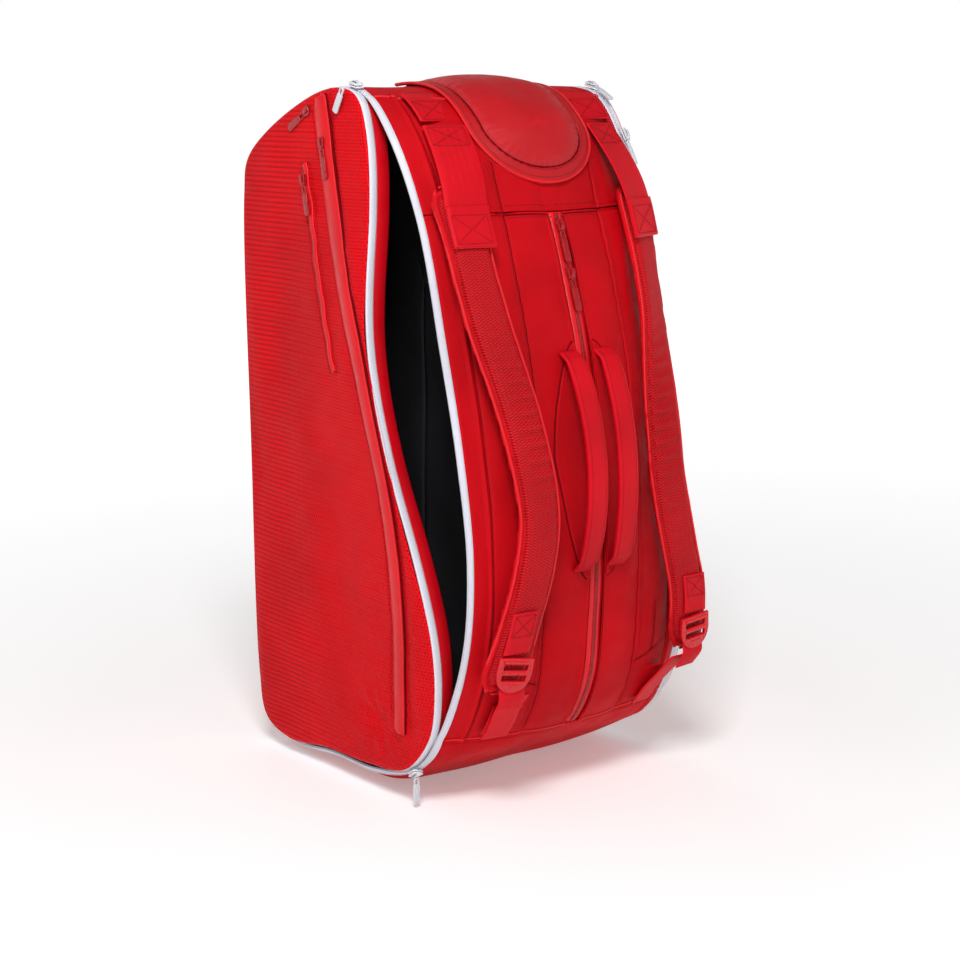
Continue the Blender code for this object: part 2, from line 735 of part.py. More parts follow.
def make_straps():
    for side, s in SIDES:
        top, low = strap_pivot(s)
        pivot = (top + low) / 2.0
        pad = [(over_face(-x, z, h, s), strap_half(-x, z, PAD_HALF, s)) for x, z, h in PAD_LINE]
        band(f"{side}_strap_pad", pad, PAD_THICK, MESH_CLOTH, pivot, columns=4, crown=0.003)
        web = [(over_face(x, z, h, s), strap_half(x, z, WEB_HALF, s)) for x, z, h in WEB_ROUTE]
        band(f"{side}_strap_webbing", web, WEB_THICK, WEBBING, pivot)
        anchor_keys = (key_at(s * ANCHOR_FOOT[0], ANCHOR_FOOT[1]), key("top_back") + 0.12)

        def anchor(u, v):
            return proud(s * between(*ANCHOR_XS, u), between(*anchor_keys, v), 2.0 * GAP)

        sheet(f"{side}_strap_anchor", (2, 4), anchor, WEB_THICK, WEBBING, offset=1.0)
        make_lower_end(side, s, pivot)


def make_lower_end(side, s, pivot):
    """Ladder lock on the pad's end, the webbing through it and the wing it is sewn to."""
    stations = [(over_face(x, z, h, s), strap_half(x, z, LOOP_HALF, s)) for x, z, h in LOOP_ROUTE]
    band(f"{side}_lock_loop", stations, WEB_THICK, WEBBING, pivot)
    centre = over_face(*LOCK_AT, s)
    half = strap_half(LOCK_AT[0], LOCK_AT[1], LOCK_SIZE[0] / 2.0, s)
    matrix = frame_at(centre, over_face(*LOCK_UP, s) - centre, Vector((half.y, -half.x, 0.0)))
    lock = block(f"{side}_ladder_lock", LOCK_SIZE, (0.0, 0.0, 0.0), PLASTIC, matrix, 0.0015, LOCK_TAPER)
    for i, y in enumerate(SLOT_YS):
        cutter = block(f"{side}_slot_{i}", SLOT_SIZE, (0.0, y, 0.0), PLASTIC, matrix, 0.0002)
        BAG.objects.unlink(cutter)
        CUTTERS.objects.link(cutter)
        cutter.hide_render = True
        cutter.display_type = "WIRE"
        cut = lock.modifiers.new("slot", "BOOLEAN")
        cut.operation = "DIFFERENCE"
        cut.solver = "EXACT"
        cut.object = cutter

    def wing(u, v):
        x, z, half = (between(a, b, v) for a, b in zip(WING_FOOT, WING_HEAD))
        return face(s * (x + half * (2.0 * u - 1.0)), z, 0.0010)

    sheet(f"{side}_anchor_wing", (2, 4), wing, 0.0020, CLOTH, offset=1.0)
    stations = [(over_face(x, z, h, s), Vector((TAIL_HALF, 0.0, 0.0))) for x, z, h in TAIL_ROUTE]
    band(f"{side}_adjuster_webbing", stations, WEB_THICK, WEBBING, pivot)


CUTTERS = bpy.data.collections.new("cutters")
bpy.context.scene.collection.children.link(CUTTERS)

make_carcass()
make_centre_zip()
make_dividers()
make_shoe_pocket()
for side_name, sign in SIDES:
    make_cover(side_name, sign)
    make_white_zip(side_name, sign)
    make_side_strip(side_name, sign, f"{side_name}_pocket_strip", STRIP_LINE, STRIP_HALF, (2, 18))
    make_side_strip(side_name, sign, f"{side_name}_small_zip", POCKET_LINE, WELT_HALF, (1, 8))
make_centre_sliders()
make_white_sliders()
make_cover_sliders()
make_handles()
make_straps()
bpy.context.view_layer.update()
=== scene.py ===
"""Looks of the racket tournament bag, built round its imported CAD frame.

Frame: +Z up, the strap face towards -Y, the open compartment on the -X side. Metres throughout.
The sewn skin is one smooth loft, and every panel, strap and zip is laid on it.
"""

import math

import bmesh
import bpy
import numpy as np
from mathutils import Matrix, Vector


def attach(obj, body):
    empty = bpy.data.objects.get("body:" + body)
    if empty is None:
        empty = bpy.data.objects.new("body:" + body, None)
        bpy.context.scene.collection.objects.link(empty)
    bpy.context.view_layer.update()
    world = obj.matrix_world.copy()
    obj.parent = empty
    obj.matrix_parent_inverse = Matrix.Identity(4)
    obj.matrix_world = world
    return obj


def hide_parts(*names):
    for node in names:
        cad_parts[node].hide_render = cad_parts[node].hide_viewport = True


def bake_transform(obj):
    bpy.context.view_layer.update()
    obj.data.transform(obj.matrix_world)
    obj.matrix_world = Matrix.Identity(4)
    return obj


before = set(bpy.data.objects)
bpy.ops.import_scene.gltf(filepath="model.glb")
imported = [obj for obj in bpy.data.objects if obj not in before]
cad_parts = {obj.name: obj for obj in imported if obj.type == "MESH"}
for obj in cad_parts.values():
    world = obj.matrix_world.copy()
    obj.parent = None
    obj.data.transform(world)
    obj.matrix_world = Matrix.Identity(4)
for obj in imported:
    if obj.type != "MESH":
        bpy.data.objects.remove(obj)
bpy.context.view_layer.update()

# Driving dimensions, as in the CAD source
HALF_WIDTH = 0.170
PANEL_EDGE = 0.1565
FRONT_EDGE = 0.1660
BACK_TAPE = (0.1573, 0.1648)
COVER_TAPE = (0.1651, 0.1730)
TAPE_HALF = 0.0095
ZIP_RADIUS = 0.9362
ZIP_CENTRE_Y = 0.7323
ZIP_CENTRE_Z = 0.2772
FLARE = 0.046
COVER_FLOP = 0.030
COVER_PULL = 0.033
OPEN_LOW = 0.085
OPEN_HIGH = 0.765
DIVIDER_X = 0.060
SEAM_Z = 0.638
FLAP_HALF = 0.0815
FLAP_BOTTOM_Z = 0.667
MOUTH_HALF = 0.070
FOLD_Y = 0.206
HINGE_Y = 0.2135
HINGE_X = 0.170
BASE_POWER = 8.0
BASE_FLAT = 0.0003
CENTRE = np.array((0.0, 0.02, 0.38))
BULGE = 1.15                 # how round the opening's ends are
SKEW = 1.5                   # the cover is drawn furthest low down
LIFT_POWER = 1.7             # the cover's cloth lifts most at its lip
SIDES = (("left", -1.0), ("right", 1.0))

# Seams of the strap face, as distances from the middle of the bag
LANE_SEAM = 0.068
LANE_MIDDLE = 0.102
LANE_HALF = 0.030
INNER_MIDDLE = 0.040
INNER_HALF = 0.027
PADDING = 0.0024             # how far the padded lanes swell
LIP_PIPING = 0.1375
DOUBLE_SEAM = 0.0035         # each row of the double seam is this far from its middle
FINE_STEP = 0.001            # spacing of the grid beside a seam


def zip_arc(z):
    """Depth of the centre zip's arc at a height."""
    return ZIP_CENTRE_Y - math.sqrt(ZIP_RADIUS ** 2 - (z - ZIP_CENTRE_Z) ** 2)


# The bag's outline seen from the side: y and z at the side edge, then y and z at the middle
OUTLINE = [
    ("base_mid", (0.060, 0.027), (0.060, 0.000)),
    ("base_back", (-0.020, 0.030), (-0.025, 0.000)),
    ("heel_low", (-0.090, 0.041), (-0.098, 0.036)),
    ("heel_high", (-0.133, 0.084), (-0.163, 0.080)),
    ("low", (-0.153, 0.137), (zip_arc(0.136), 0.136)),
    ("belly", (-0.162, 0.200), (zip_arc(0.202), 0.202)),
    ("waist", (-0.153, 0.285), (zip_arc(0.287), 0.287)),
    ("mid", (-0.126, 0.390), (zip_arc(0.391), 0.391)),
    ("chest", (-0.100, 0.500), (zip_arc(0.500), 0.500)),
    ("shoulder", (-0.079, SEAM_Z), (zip_arc(SEAM_Z), SEAM_Z)),
    ("nape", (-0.047, 0.717), (-0.103, 0.710)),
    ("top_back", (-0.014, 0.758), (-0.055, 0.754)),
    ("top_mid", (0.022, 0.767), (0.000, 0.769)),
    ("top_front", (0.085, 0.754), (0.085, 0.759)),
    ("chamfer_end", (0.202, 0.690), (0.204, 0.692)),
    ("front_top", (0.212, 0.650), (0.216, 0.650)),
    ("front_mid", (0.209, 0.360), (0.218, 0.360)),
    ("front_low", (0.199, 0.085), (0.205, 0.080)),
    ("toe", (0.186, 0.034), (0.190, 0.018)),
    ("base_front", (0.140, 0.018), (0.140, 0.000)),
]
NAMES = [row[0] for row in OUTLINE]
KEYS = len(OUTLINE)
SAMPLES = 4000


def key(name):
    return float(NAMES.index(name))


def spline(points, k):
    """Centripetal Catmull-Rom curve through a closed loop of 2D points, at a fractional index."""
    i = math.floor(k)
    t = k - i
    p = [Vector(points[(i + j) % KEYS]) for j in (-1, 0, 1, 2)]
    knots = [0.0]
    for a, b in zip(p, p[1:]):
        knots.append(knots[-1] + math.sqrt((b - a).length))
    at = knots[1] + t * (knots[2] - knots[1])

    def mix(a, b, ta, tb):
        return a * ((tb - at) / (tb - ta)) + b * ((at - ta) / (tb - ta))

    a1 = mix(p[0], p[1], knots[0], knots[1])
    a2 = mix(p[1], p[2], knots[1], knots[2])
    a3 = mix(p[2], p[3], knots[2], knots[3])
    b1 = mix(a1, a2, knots[0], knots[2])
    b2 = mix(a2, a3, knots[1], knots[3])
    return mix(b1, b2, knots[1], knots[2])


def traced(points):
    return np.array([spline(points, i * KEYS / SAMPLES) for i in range(SAMPLES + 1)])


EDGE = traced([row[1] for row in OUTLINE])
MIDDLE = traced([row[2] for row in OUTLINE])


def read(curve, k):
    """Points of a traced loop at fractional indices."""
    at = np.mod(k, KEYS) * SAMPLES / KEYS
    i = np.minimum(at.astype(int), SAMPLES - 1)
    t = (at - i)[..., None]
    return curve[i] * (1.0 - t) + curve[i + 1] * t


def share_of(value, low, high):
    """How far a value is from low to high, kept between zero and one."""
    return np.clip((value - low) / (high - low), 0.0, 1.0)


def bump(z):
    """Zero where the left zip is closed, one at the middle of its opening."""
    return np.maximum(np.sin(np.pi * share_of(z, OPEN_LOW, OPEN_HIGH)), 0.0) ** BULGE


def drawn(z):
    """How far the open cover's lip is drawn to the front, one where it is furthest."""
    return np.maximum(np.sin(np.pi * share_of(z, OPEN_LOW, OPEN_HIGH) ** SKEW), 0.0) ** BULGE


def crown_power(k):
    """The strap face and the top are crowned across; the base is flat with raised side edges."""
    k = np.mod(k, KEYS)
    k = np.where(k > KEYS / 2.0, k - KEYS, k)
    start, end = key("front_low") - KEYS, key("heel_high")
    return 2.0 + (BASE_POWER - 2.0) * np.clip(k - start, 0.0, 1.0) * np.clip(end - k, 0.0, 1.0)


def body(x, k):
    """Points on the bag's outer surface at x, a fractional outline index round it."""
    x, k = np.broadcast_arrays(np.asarray(x, float), np.asarray(k, float))
    edge, middle = read(EDGE, k), read(MIDDLE, k)
    across = np.minimum(1.0, np.abs(x / HALF_WIDTH)) ** crown_power(k)
    yz = middle + (edge - middle) * across[..., None]
    z = yz[..., 1] - BASE_FLAT
    turn = np.mod(k, KEYS)
    behind = (x < 0.0) & (turn > key("heel_low")) & (turn < key("top_back"))
    y = yz[..., 0] - np.where(behind, FLARE * bump(z) * across, 0.0)
    return np.stack([x, y, np.maximum(z, 0.0)], -1)


def unit(v):
    return v / np.maximum(np.linalg.norm(v, axis=-1, keepdims=True), 1e-12)


def normal(x, k):
    """Outward directions there."""
    x, k = np.asarray(x, float), np.asarray(k, float)
    along = body(x, k + 0.02) - body(x, k - 0.02)
    across = body(x + 0.001, k) - body(x - 0.001, k)
    out = unit(np.cross(along, across))
    flip = np.sum(out * (body(x, k) - CENTRE), axis=-1, keepdims=True) < 0.0
    return np.where(flip, -out, out)


def proud(x, k, height=0.0):
    height = np.asarray(height, float)
    return body(x, k) + normal(x, k) * height[..., None]


def key_at(x, z):
    """Outline indices on the strap face at given heights."""
    x, z = np.broadcast_arrays(np.asarray(x, float), np.asarray(z, float))
    low, high = np.full(x.shape, key("heel_low") - 0.5), np.full(x.shape, key("top_mid"))
    for _ in range(24):
        half = (low + high) / 2.0
        under = body(x, half)[..., 2] < z
        low, high = np.where(under, half, low), np.where(under, high, half)
    return (low + high) / 2.0


LIP_Z = np.linspace(0.03, 0.76, 500)
LIP_Y = read(EDGE, key_at(-HALF_WIDTH, LIP_Z))[:, 0]
STEPS = np.linalg.norm(np.diff(MIDDLE, axis=0), axis=1)
LENGTHS = np.concatenate([[0.0], np.cumsum(STEPS)])
SAMPLE_KEYS = np.linspace(0.0, KEYS, SAMPLES + 1)


def length_at(k):
    """Distance round the middle of the bag from the first key, which grows past one whole turn."""
    return np.interp(np.mod(k, KEYS), SAMPLE_KEYS, LENGTHS) + np.floor(np.asarray(k) / KEYS) * LENGTHS[-1]


def key_of(length):
    turns = np.floor(length / LENGTHS[-1])
    return np.interp(length - turns * LENGTHS[-1], LENGTHS, SAMPLE_KEYS) + turns * KEYS


def opened(points):
    """Moves points of the closed left cover to where the open zip lets it hang."""
    x, y, z = np.moveaxis(np.asarray(points, float), -1, 0)
    share = np.clip((FOLD_Y - y) / (FOLD_Y - np.interp(z, LIP_Z, LIP_Y)), 0.0, 1.0)
    lift = share ** LIFT_POWER
    return np.stack([x - COVER_FLOP * bump(z) * lift, y + COVER_PULL * drawn(z) * lift, z], -1)


# Small shape functions
def ease(t):
    t = np.clip(t, 0.0, 1.0)
    return t * t * (3.0 - 2.0 * t)


def ridge(distance, width, height):
    return height * np.exp(-(distance / width) ** 2)


def slack(u, v, size, seed):
    """Smooth unevenness of soft cloth, between about -1 and 1."""
    draw = np.random.default_rng(seed)
    total = 0.0
    for _ in range(8):
        angle, phase = draw.uniform(0.0, 2.0 * math.pi, 2)
        wave = size * draw.uniform(0.55, 1.7)
        total = total + np.sin((u * math.cos(angle) + v * math.sin(angle)) * 2.0 * math.pi / wave + phase)
    return total / 3.4


def spaced(start, end, step, spots=(), near=0.005):
    """Positions from start to end, closer together around the named spots."""
    places = [start]
    while places[-1] < end - 1e-7:
        here = places[-1]
        fine = any(abs(here - spot) < near for spot in spots)
        places.append(min(end, here + (FINE_STEP if fine else step)))
    return np.array(places)


def segment_distance(x, z, a, b):
    """Distance of points from a straight seam."""
    dx, dz = b[0] - a[0], b[1] - a[1]
    t = np.clip(((x - a[0]) * dx + (z - a[1]) * dz) / (dx * dx + dz * dz), 0.0, 1.0)
    return np.hypot(x - a[0] - t * dx, z - a[1] - t * dz)


def relief(x, k):
    """Height of the sewn strap face over the plain loft: seams, piping, padding and slack."""
    point = body(x, k)
    z = point[..., 2]
    turn = np.mod(k, KEYS)
    on_back = ease((turn - key("heel_low")) / 0.6) * ease((key("top_mid") - turn) / 0.8)
    a = np.abs(x)
    panels = ease((z - 0.05) / 0.06) * ease((0.70 - z) / 0.05)
    seam = a - LANE_SEAM
    h = ridge(seam, 0.0016, -0.0016) * panels
    h = h + ridge(seam - 0.0045, 0.0030, 0.0009) * panels
    h = h + ridge(a - LIP_PIPING, 0.0019, 0.0021)
    h = h + ridge(a - LIP_PIPING + 0.0042, 0.0022, -0.0012)
    lane = np.clip(1.0 - ((a - LANE_MIDDLE) / LANE_HALF) ** 2, 0.0, 1.0)
    middle = np.clip(1.0 - ((a - INNER_MIDDLE) / INNER_HALF) ** 2, 0.0, 1.0)
    h = h + PADDING * (lane + middle) * panels
    below = ease((SEAM_Z - z) / 0.01)
    h = h + ridge(a - 0.0125, 0.0022, 0.0012) * below
    h = (h + ridge(z - SEAM_Z + DOUBLE_SEAM, 0.0014, -0.0011)
         + ridge(z - SEAM_Z - DOUBLE_SEAM, 0.0014, -0.0011))
    for start, end in (((0.071, 0.140), (0.134, 0.160)), ((0.095, 0.148), (0.099, 0.208))):
        h = h + ridge(segment_distance(a, z, start, end), 0.0016, -0.0014)
    puckers = np.sin(z * 2.0 * math.pi / 0.023 + 3.0 * np.sin(z * 11.0)) * ridge(seam, 0.013, 0.0004)
    h = h + puckers * panels
    h = h + 0.0013 * slack(x, z, 0.17, 3) + 0.0006 * slack(x * 1.6, z, 0.06, 4)
    lips = ease((PANEL_EDGE - a) / 0.008)
    return h * on_back * lips + 0.0010 * slack(x, length_at(k), 0.14, 5) * (1.0 - on_back) * lips


def skin(x, k, height=0.0):
    """Points over the finished, sewn surface."""
    return proud(x, k, relief(x, k) + height)


def face(x, z, height=0.0):
    """Points over the strap face at x and z."""
    return skin(x, key_at(x, z), height)


def out_of(x, z):
    return normal(x, key_at(x, z))


# Procedural materials
class Look:
    """A principled material put together from small maths nodes. Its cloth coordinates are metres
    along and across the cloth, kept on each mesh as the attribute "weave"."""

    def __init__(self, name, roughness, sheen=0.0, coat=0.0, specular=0.45, tint=None):
        self.material = bpy.data.materials.new(name)
        self.material.use_nodes = True
        self.tree = self.material.node_tree
        self.shader = self.tree.nodes["Principled BSDF"]
        self.shader.inputs["Roughness"].default_value = roughness
        self.shader.inputs["Sheen Weight"].default_value = sheen
        self.shader.inputs["Sheen Roughness"].default_value = 0.4
        self.shader.inputs["Sheen Tint"].default_value = tint or (1.0, 1.0, 1.0, 1.0)
        self.shader.inputs["Coat Weight"].default_value = coat
        self.shader.inputs["Coat Roughness"].default_value = 0.3
        self.shader.inputs["Specular IOR Level"].default_value = specular
        cloth = self.node("ShaderNodeAttribute", attribute_name="weave")
        split = self.node("ShaderNodeSeparateXYZ")
        self.link(cloth.outputs["Vector"], split.inputs[0])
        self.u, self.v = split.outputs[0], split.outputs[1]
        self.place = self.node("ShaderNodeTexCoord").outputs["Object"]

    def node(self, kind, **settings):
        made = self.tree.nodes.new(kind)
        for setting, value in settings.items():
            setattr(made, setting, value)
        return made

    def link(self, a, b):
        self.tree.links.new(a, b)

    def put(self, socket, value):
        if isinstance(value, bpy.types.NodeSocket):
            self.link(value, socket)
        else:
            socket.default_value = value

    def maths(self, operation, a, b=0.0, clamp=False):
        made = self.node("ShaderNodeMath", operation=operation, use_clamp=clamp)
        self.put(made.inputs[0], a)
        self.put(made.inputs[1], b)
        return made.outputs[0]

    def add(self, a, b):
        return self.maths("ADD", a, b)

    def times(self, a, b):
        return self.maths("MULTIPLY", a, b)

    def wave(self, at, pitch, shift=0.0):
        """A cosine of the cloth coordinate, from 0 to 1."""
        turn = self.add(self.times(at, 2.0 * math.pi / pitch), shift)
        return self.add(self.times(self.maths("COSINE", turn), 0.5), 0.5)

    def noise(self, size, detail=3.0, rough=0.5):
        made = self.node("ShaderNodeTexNoise")
        self.link(self.place, made.inputs["Vector"])
        made.inputs["Scale"].default_value = 1.0 / size
        made.inputs["Detail"].default_value = detail
        made.inputs["Roughness"].default_value = rough
        return made.outputs[0]

    def spread(self, value, low, high, to_low=0.0, to_high=1.0):
        made = self.node("ShaderNodeMapRange")
        for index, number in enumerate((value, low, high, to_low, to_high)):
            self.put(made.inputs[index], number)
        return made.outputs[0]

    def mix(self, share, a, b):
        made = self.node("ShaderNodeMix", data_type="RGBA")
        self.put(made.inputs["Factor"], share)
        self.put(made.inputs[6], a)
        self.put(made.inputs[7], b)
        return made.outputs[2]

    def finish(self, colour, height, depth, strength=1.0, rough=None):
        self.put(self.shader.inputs["Base Color"], colour)
        if rough is not None:
            self.link(rough, self.shader.inputs["Roughness"])
        bumped = self.node("ShaderNodeBump")
        bumped.inputs["Strength"].default_value = strength
        bumped.inputs["Distance"].default_value = depth
        self.link(height, bumped.inputs["Height"])
        self.link(bumped.outputs[0], self.shader.inputs["Normal"])
        return self.material


def srgb(red, green, blue):
    """Linear colour of an 8-bit sRGB one."""
    def linear(value):
        value /= 255.0
        return value / 12.92 if value <= 0.04045 else ((value + 0.055) / 1.055) ** 2.4
    return (linear(red), linear(green), linear(blue), 1.0)


def shade(colour, factor):
    return (*(min(1.0, c * factor) for c in colour[:3]), 1.0)


def mottled_with_ridge_highlight(look, colour, pale=1.16, deep=0.86):
    """A colour with broad fading, small flecks, and a painted highlight that lightens its convex ridges."""
    broad = look.spread(look.noise(0.11, 2.0), 0.35, 0.65)
    patchy = look.mix(broad, shade(colour, deep), shade(colour, pale))
    flecks = look.spread(look.noise(0.0016, 2.0, 0.7), 0.62, 0.80, 0.0, 0.30)
    flecked = look.mix(flecks, patchy, shade(colour, 1.5))
    # Painted highlight: convex ridges and edges are lightened by their pointiness.
    convex_highlight = look.spread(look.node("ShaderNodeNewGeometry").outputs["Pointiness"], 0.515, 0.57, 0.0, 0.35)
    return look.mix(convex_highlight, flecked, shade(colour, 1.7))


def woven_look(name, colour, pitch=0.0009, depth=0.00022, roughness=0.60, sheen=0.04, specular=0.09):
    """Plain weave of two crossing yarns, with a painted highlight on the raised yarns."""
    look = Look(name, roughness, sheen=sheen, specular=specular, tint=shade(colour, 1.6))
    warp, weft = look.wave(look.u, pitch), look.wave(look.v, pitch, math.pi)
    yarn = look.maths("MAXIMUM", warp, weft)
    height = look.add(look.times(yarn, 0.7), look.times(look.noise(0.004, 3.0), 0.6))
    rough = look.spread(look.noise(0.03), 0.3, 0.7, roughness - 0.08, roughness + 0.10)
    # Painted highlight: the raised yarns are coloured lighter.
    colours = look.mix(look.times(yarn, 0.22), mottled_with_ridge_highlight(look, colour), shade(colour, 1.35))
    return look.finish(colours, height, depth, rough=rough)


def satin_look(name, colour, pitch=0.0007, roughness=0.36, depth=0.00010):
    """Smooth binding tape with fine crosswise ribs, and a painted highlight on the rib crests."""
    look = Look(name, roughness, sheen=0.03, coat=0.03, specular=0.30, tint=shade(colour, 1.6))
    ribs = look.wave(look.v, pitch)
    height = look.add(look.times(ribs, 0.6), look.noise(0.006, 3.0))
    rough = look.spread(look.noise(0.02), 0.3, 0.7, roughness - 0.06, roughness + 0.10)
    # Painted highlight: the rib crests are coloured lighter.
    colours = look.mix(look.times(ribs, 0.15), mottled_with_ridge_highlight(look, colour, 1.1, 0.92), shade(colour, 1.3))
    return look.finish(colours, height, depth, rough=rough)


def side_mesh_look(name, colour):
    """Honeycomb sports mesh that turns into crosswise ribs towards the front of the bag, with painted shade
    in its holes and low parts.
    """
    look = Look(name, 0.60, sheen=0.02, specular=0.08, tint=shade(colour, 1.5))
    pitch = 0.0036
    slant = look.times(look.v, 0.5)
    up = look.times(look.u, math.sqrt(3.0) / 2.0)
    cells = look.add(look.wave(look.v, pitch), look.wave(look.add(up, slant), pitch))
    cells = look.add(cells, look.wave(look.add(up, look.times(slant, -1.0)), pitch))
    hole = look.spread(cells, 1.7, 2.8)
    rib = look.maths("POWER", look.wave(look.v, 0.0056), 0.7)
    grain = look.wave(look.u, 0.0018)
    ribbed = look.spread(look.u, 0.015, 0.110)
    honeycomb = look.maths("SUBTRACT", 1.0, hole)
    weave = look.add(look.times(rib, 0.85), look.times(grain, 0.15))
    height = look.add(look.times(honeycomb, look.maths("SUBTRACT", 1.0, look.times(ribbed, 0.8))),
                      look.times(weave, look.add(look.times(ribbed, 0.75), 0.30)))
    base = mottled_with_ridge_highlight(look, colour, 1.1, 0.9)
    # Painted shade: the holes and low parts of the mesh are darkened.
    hole_shade = look.times(look.maths("SUBTRACT", 1.0, height, clamp=True), 0.85)
    colours = look.mix(hole_shade, base, shade(colour, 0.38))
    colours = look.mix(look.times(look.noise(0.0024, 2.0, 0.6), 0.18), colours, shade(colour, 1.6))
    return look.finish(colours, height, 0.0010, strength=1.0)


def zigzag_mesh_look(name, colour):
    """Spacer mesh of zigzag rows, as on the shoulder pads, with painted shade in its grooves and a painted
    highlight on its crests.
    """
    look = Look(name, 0.55, sheen=0.03, specular=0.12, tint=shade(colour, 1.6))
    zigzag = look.maths("PINGPONG", look.u, 0.0026)
    row = look.wave(look.add(look.v, look.times(zigzag, 0.9)), 0.0030)
    column = look.wave(look.u, 0.0026)
    height = look.add(look.times(row, 0.8), look.times(column, 0.2))
    # Painted shade: the low parts between the zigzag rows are darkened.
    colours = look.mix(look.spread(height, 0.15, 0.6), shade(colour, 0.42), mottled_with_ridge_highlight(look, colour, 1.12, 0.9))
    # Painted highlight: the crests of the rows are lightened.
    colours = look.mix(look.spread(height, 0.75, 1.0, 0.0, 0.35), colours, shade(colour, 1.8))
    return look.finish(colours, height, 0.0007, strength=0.9)


def webbing_look(name, colour):
    """Flat woven webbing with crosswise picks and lengthwise lines, and a painted highlight on their crests.
    """
    look = Look(name, 0.50, sheen=0.03, specular=0.12, tint=shade(colour, 1.6))
    slanted = look.add(look.v, look.times(look.maths("PINGPONG", look.u, 0.0040), 0.7))
    picks = look.wave(slanted, 0.0015)
    lines = look.wave(look.u, 0.0020)
    height = look.add(look.times(picks, 0.65), look.times(lines, 0.35))
    # Painted highlight: the raised picks and lines are coloured lighter.
    colours = look.mix(look.times(height, 0.30), mottled_with_ridge_highlight(look, colour), shade(colour, 1.5))
    return look.finish(colours, height, 0.00025, strength=0.8)


def plastic_look(name, colour, roughness=0.32):
    """Moulded plastic with a fine satin grain, random scuffs and a painted highlight on its convex edges."""
    look = Look(name, roughness, coat=0.10, specular=0.45)
    grain = look.noise(0.0007, 2.0, 0.6)
    height = look.add(look.times(grain, 0.5), look.times(look.noise(0.006), 0.5))
    scuffs = look.spread(look.noise(0.0035, 5.0, 0.75), 0.60, 0.75, 0.0, 0.35)
    base = look.mix(scuffs, colour, shade(colour, 1.25))
    # Painted highlight: convex edges are lightened by their pointiness.
    convex_highlight = look.spread(look.node("ShaderNodeNewGeometry").outputs["Pointiness"], 0.52, 0.60, 0.0, 0.4)
    colours = look.mix(convex_highlight, base, shade(colour, 1.6))
    rough = look.spread(look.noise(0.008), 0.3, 0.7, roughness - 0.06, roughness + 0.12)
    return look.finish(colours, height, 0.00006, rough=rough)


RED = srgb(180, 3, 16)
DEEP = srgb(150, 2, 14)
LOOKS = {
    "cloth": woven_look("red_cloth", RED),
    "side": side_mesh_look("side_mesh", srgb(208, 8, 20)),
    "strap": zigzag_mesh_look("strap_mesh", srgb(196, 18, 28)),
    "border": woven_look("strap_border", srgb(184, 8, 20), roughness=0.5),
    "webbing": webbing_look("red_webbing", srgb(188, 8, 24)),
    "satin": satin_look("red_zip", srgb(202, 12, 24)),
    "piping": satin_look("red_piping", srgb(196, 10, 22), roughness=0.42),
    "inner": satin_look("inner_band", srgb(196, 2, 20), roughness=0.45),
    "white": satin_look("white_zip_tape", srgb(206, 206, 218), roughness=0.45),
    "white_plastic": plastic_look("white_plastic", srgb(198, 200, 206)),
    "red_plastic": plastic_look("red_plastic", srgb(196, 10, 24), roughness=0.26),
    "pull": plastic_look("red_pull", srgb(150, 4, 14), roughness=0.30),
    "flap": woven_look("flap_cloth", srgb(172, 3, 16), roughness=0.40, sheen=0.10, specular=0.32),
    "coil": plastic_look("red_coil", DEEP, roughness=0.4),
    "lining": woven_look("grey_lining", srgb(40, 40, 43), pitch=0.0013, roughness=0.5, sheen=0.02),
    "thread": satin_look("red_thread", srgb(140, 2, 12), pitch=0.0003, roughness=0.5),
    # Dark colour of the seam lines: painted shade in the seam grooves.
    "seam": woven_look("red_seam_shade", srgb(92, 0, 8), roughness=0.7, sheen=0.0),
    "white_thread": satin_look("white_thread", srgb(214, 214, 220), pitch=0.0003, roughness=0.5),
}


# Meshes
WELD = 1e-6                  # points nearer than this are one
ROUND_STEPS = 4


def lattice(rows, cols, wrap=False):
    """Quads of a grid of points kept row by row; wrap joins the last column to the first."""
    r, c = np.meshgrid(np.arange(rows - 1), np.arange(cols if wrap else cols - 1), indexing="ij")
    right = (c + 1) % cols
    quads = np.stack([r * cols + c, r * cols + right, (r + 1) * cols + right, (r + 1) * cols + c], -1)
    return quads.reshape(-1, 4).tolist()


def faced_out(points, faces):
    """Faces in the order that points them away from the bag's centre; on a closed form, outwards."""
    total = 0.0
    for f in faces:
        corner = points[f]
        across = np.cross(corner[2] - corner[0], corner[-1] - corner[1])
        total += across @ (corner.mean(axis=0) - CENTRE)
    return [f[::-1] for f in faces] if total < 0.0 else faces


def quad_normals(corners):
    """Area vectors of quads given by their four corners."""
    return np.cross(corners[:, 2] - corners[:, 0], corners[:, 3] - corners[:, 1])


def quick_faced_out(points, quads):
    """The same, all at once, where every face is a quad."""
    corners = points[np.array(quads)]
    total = np.sum(quad_normals(corners) * (corners.mean(axis=1) - CENTRE))
    return [q[::-1] for q in quads] if total < 0.0 else quads


def flat(u, v):
    """Cloth coordinates of a plain sheet."""
    return np.stack([u, v, np.zeros_like(u)], -1)


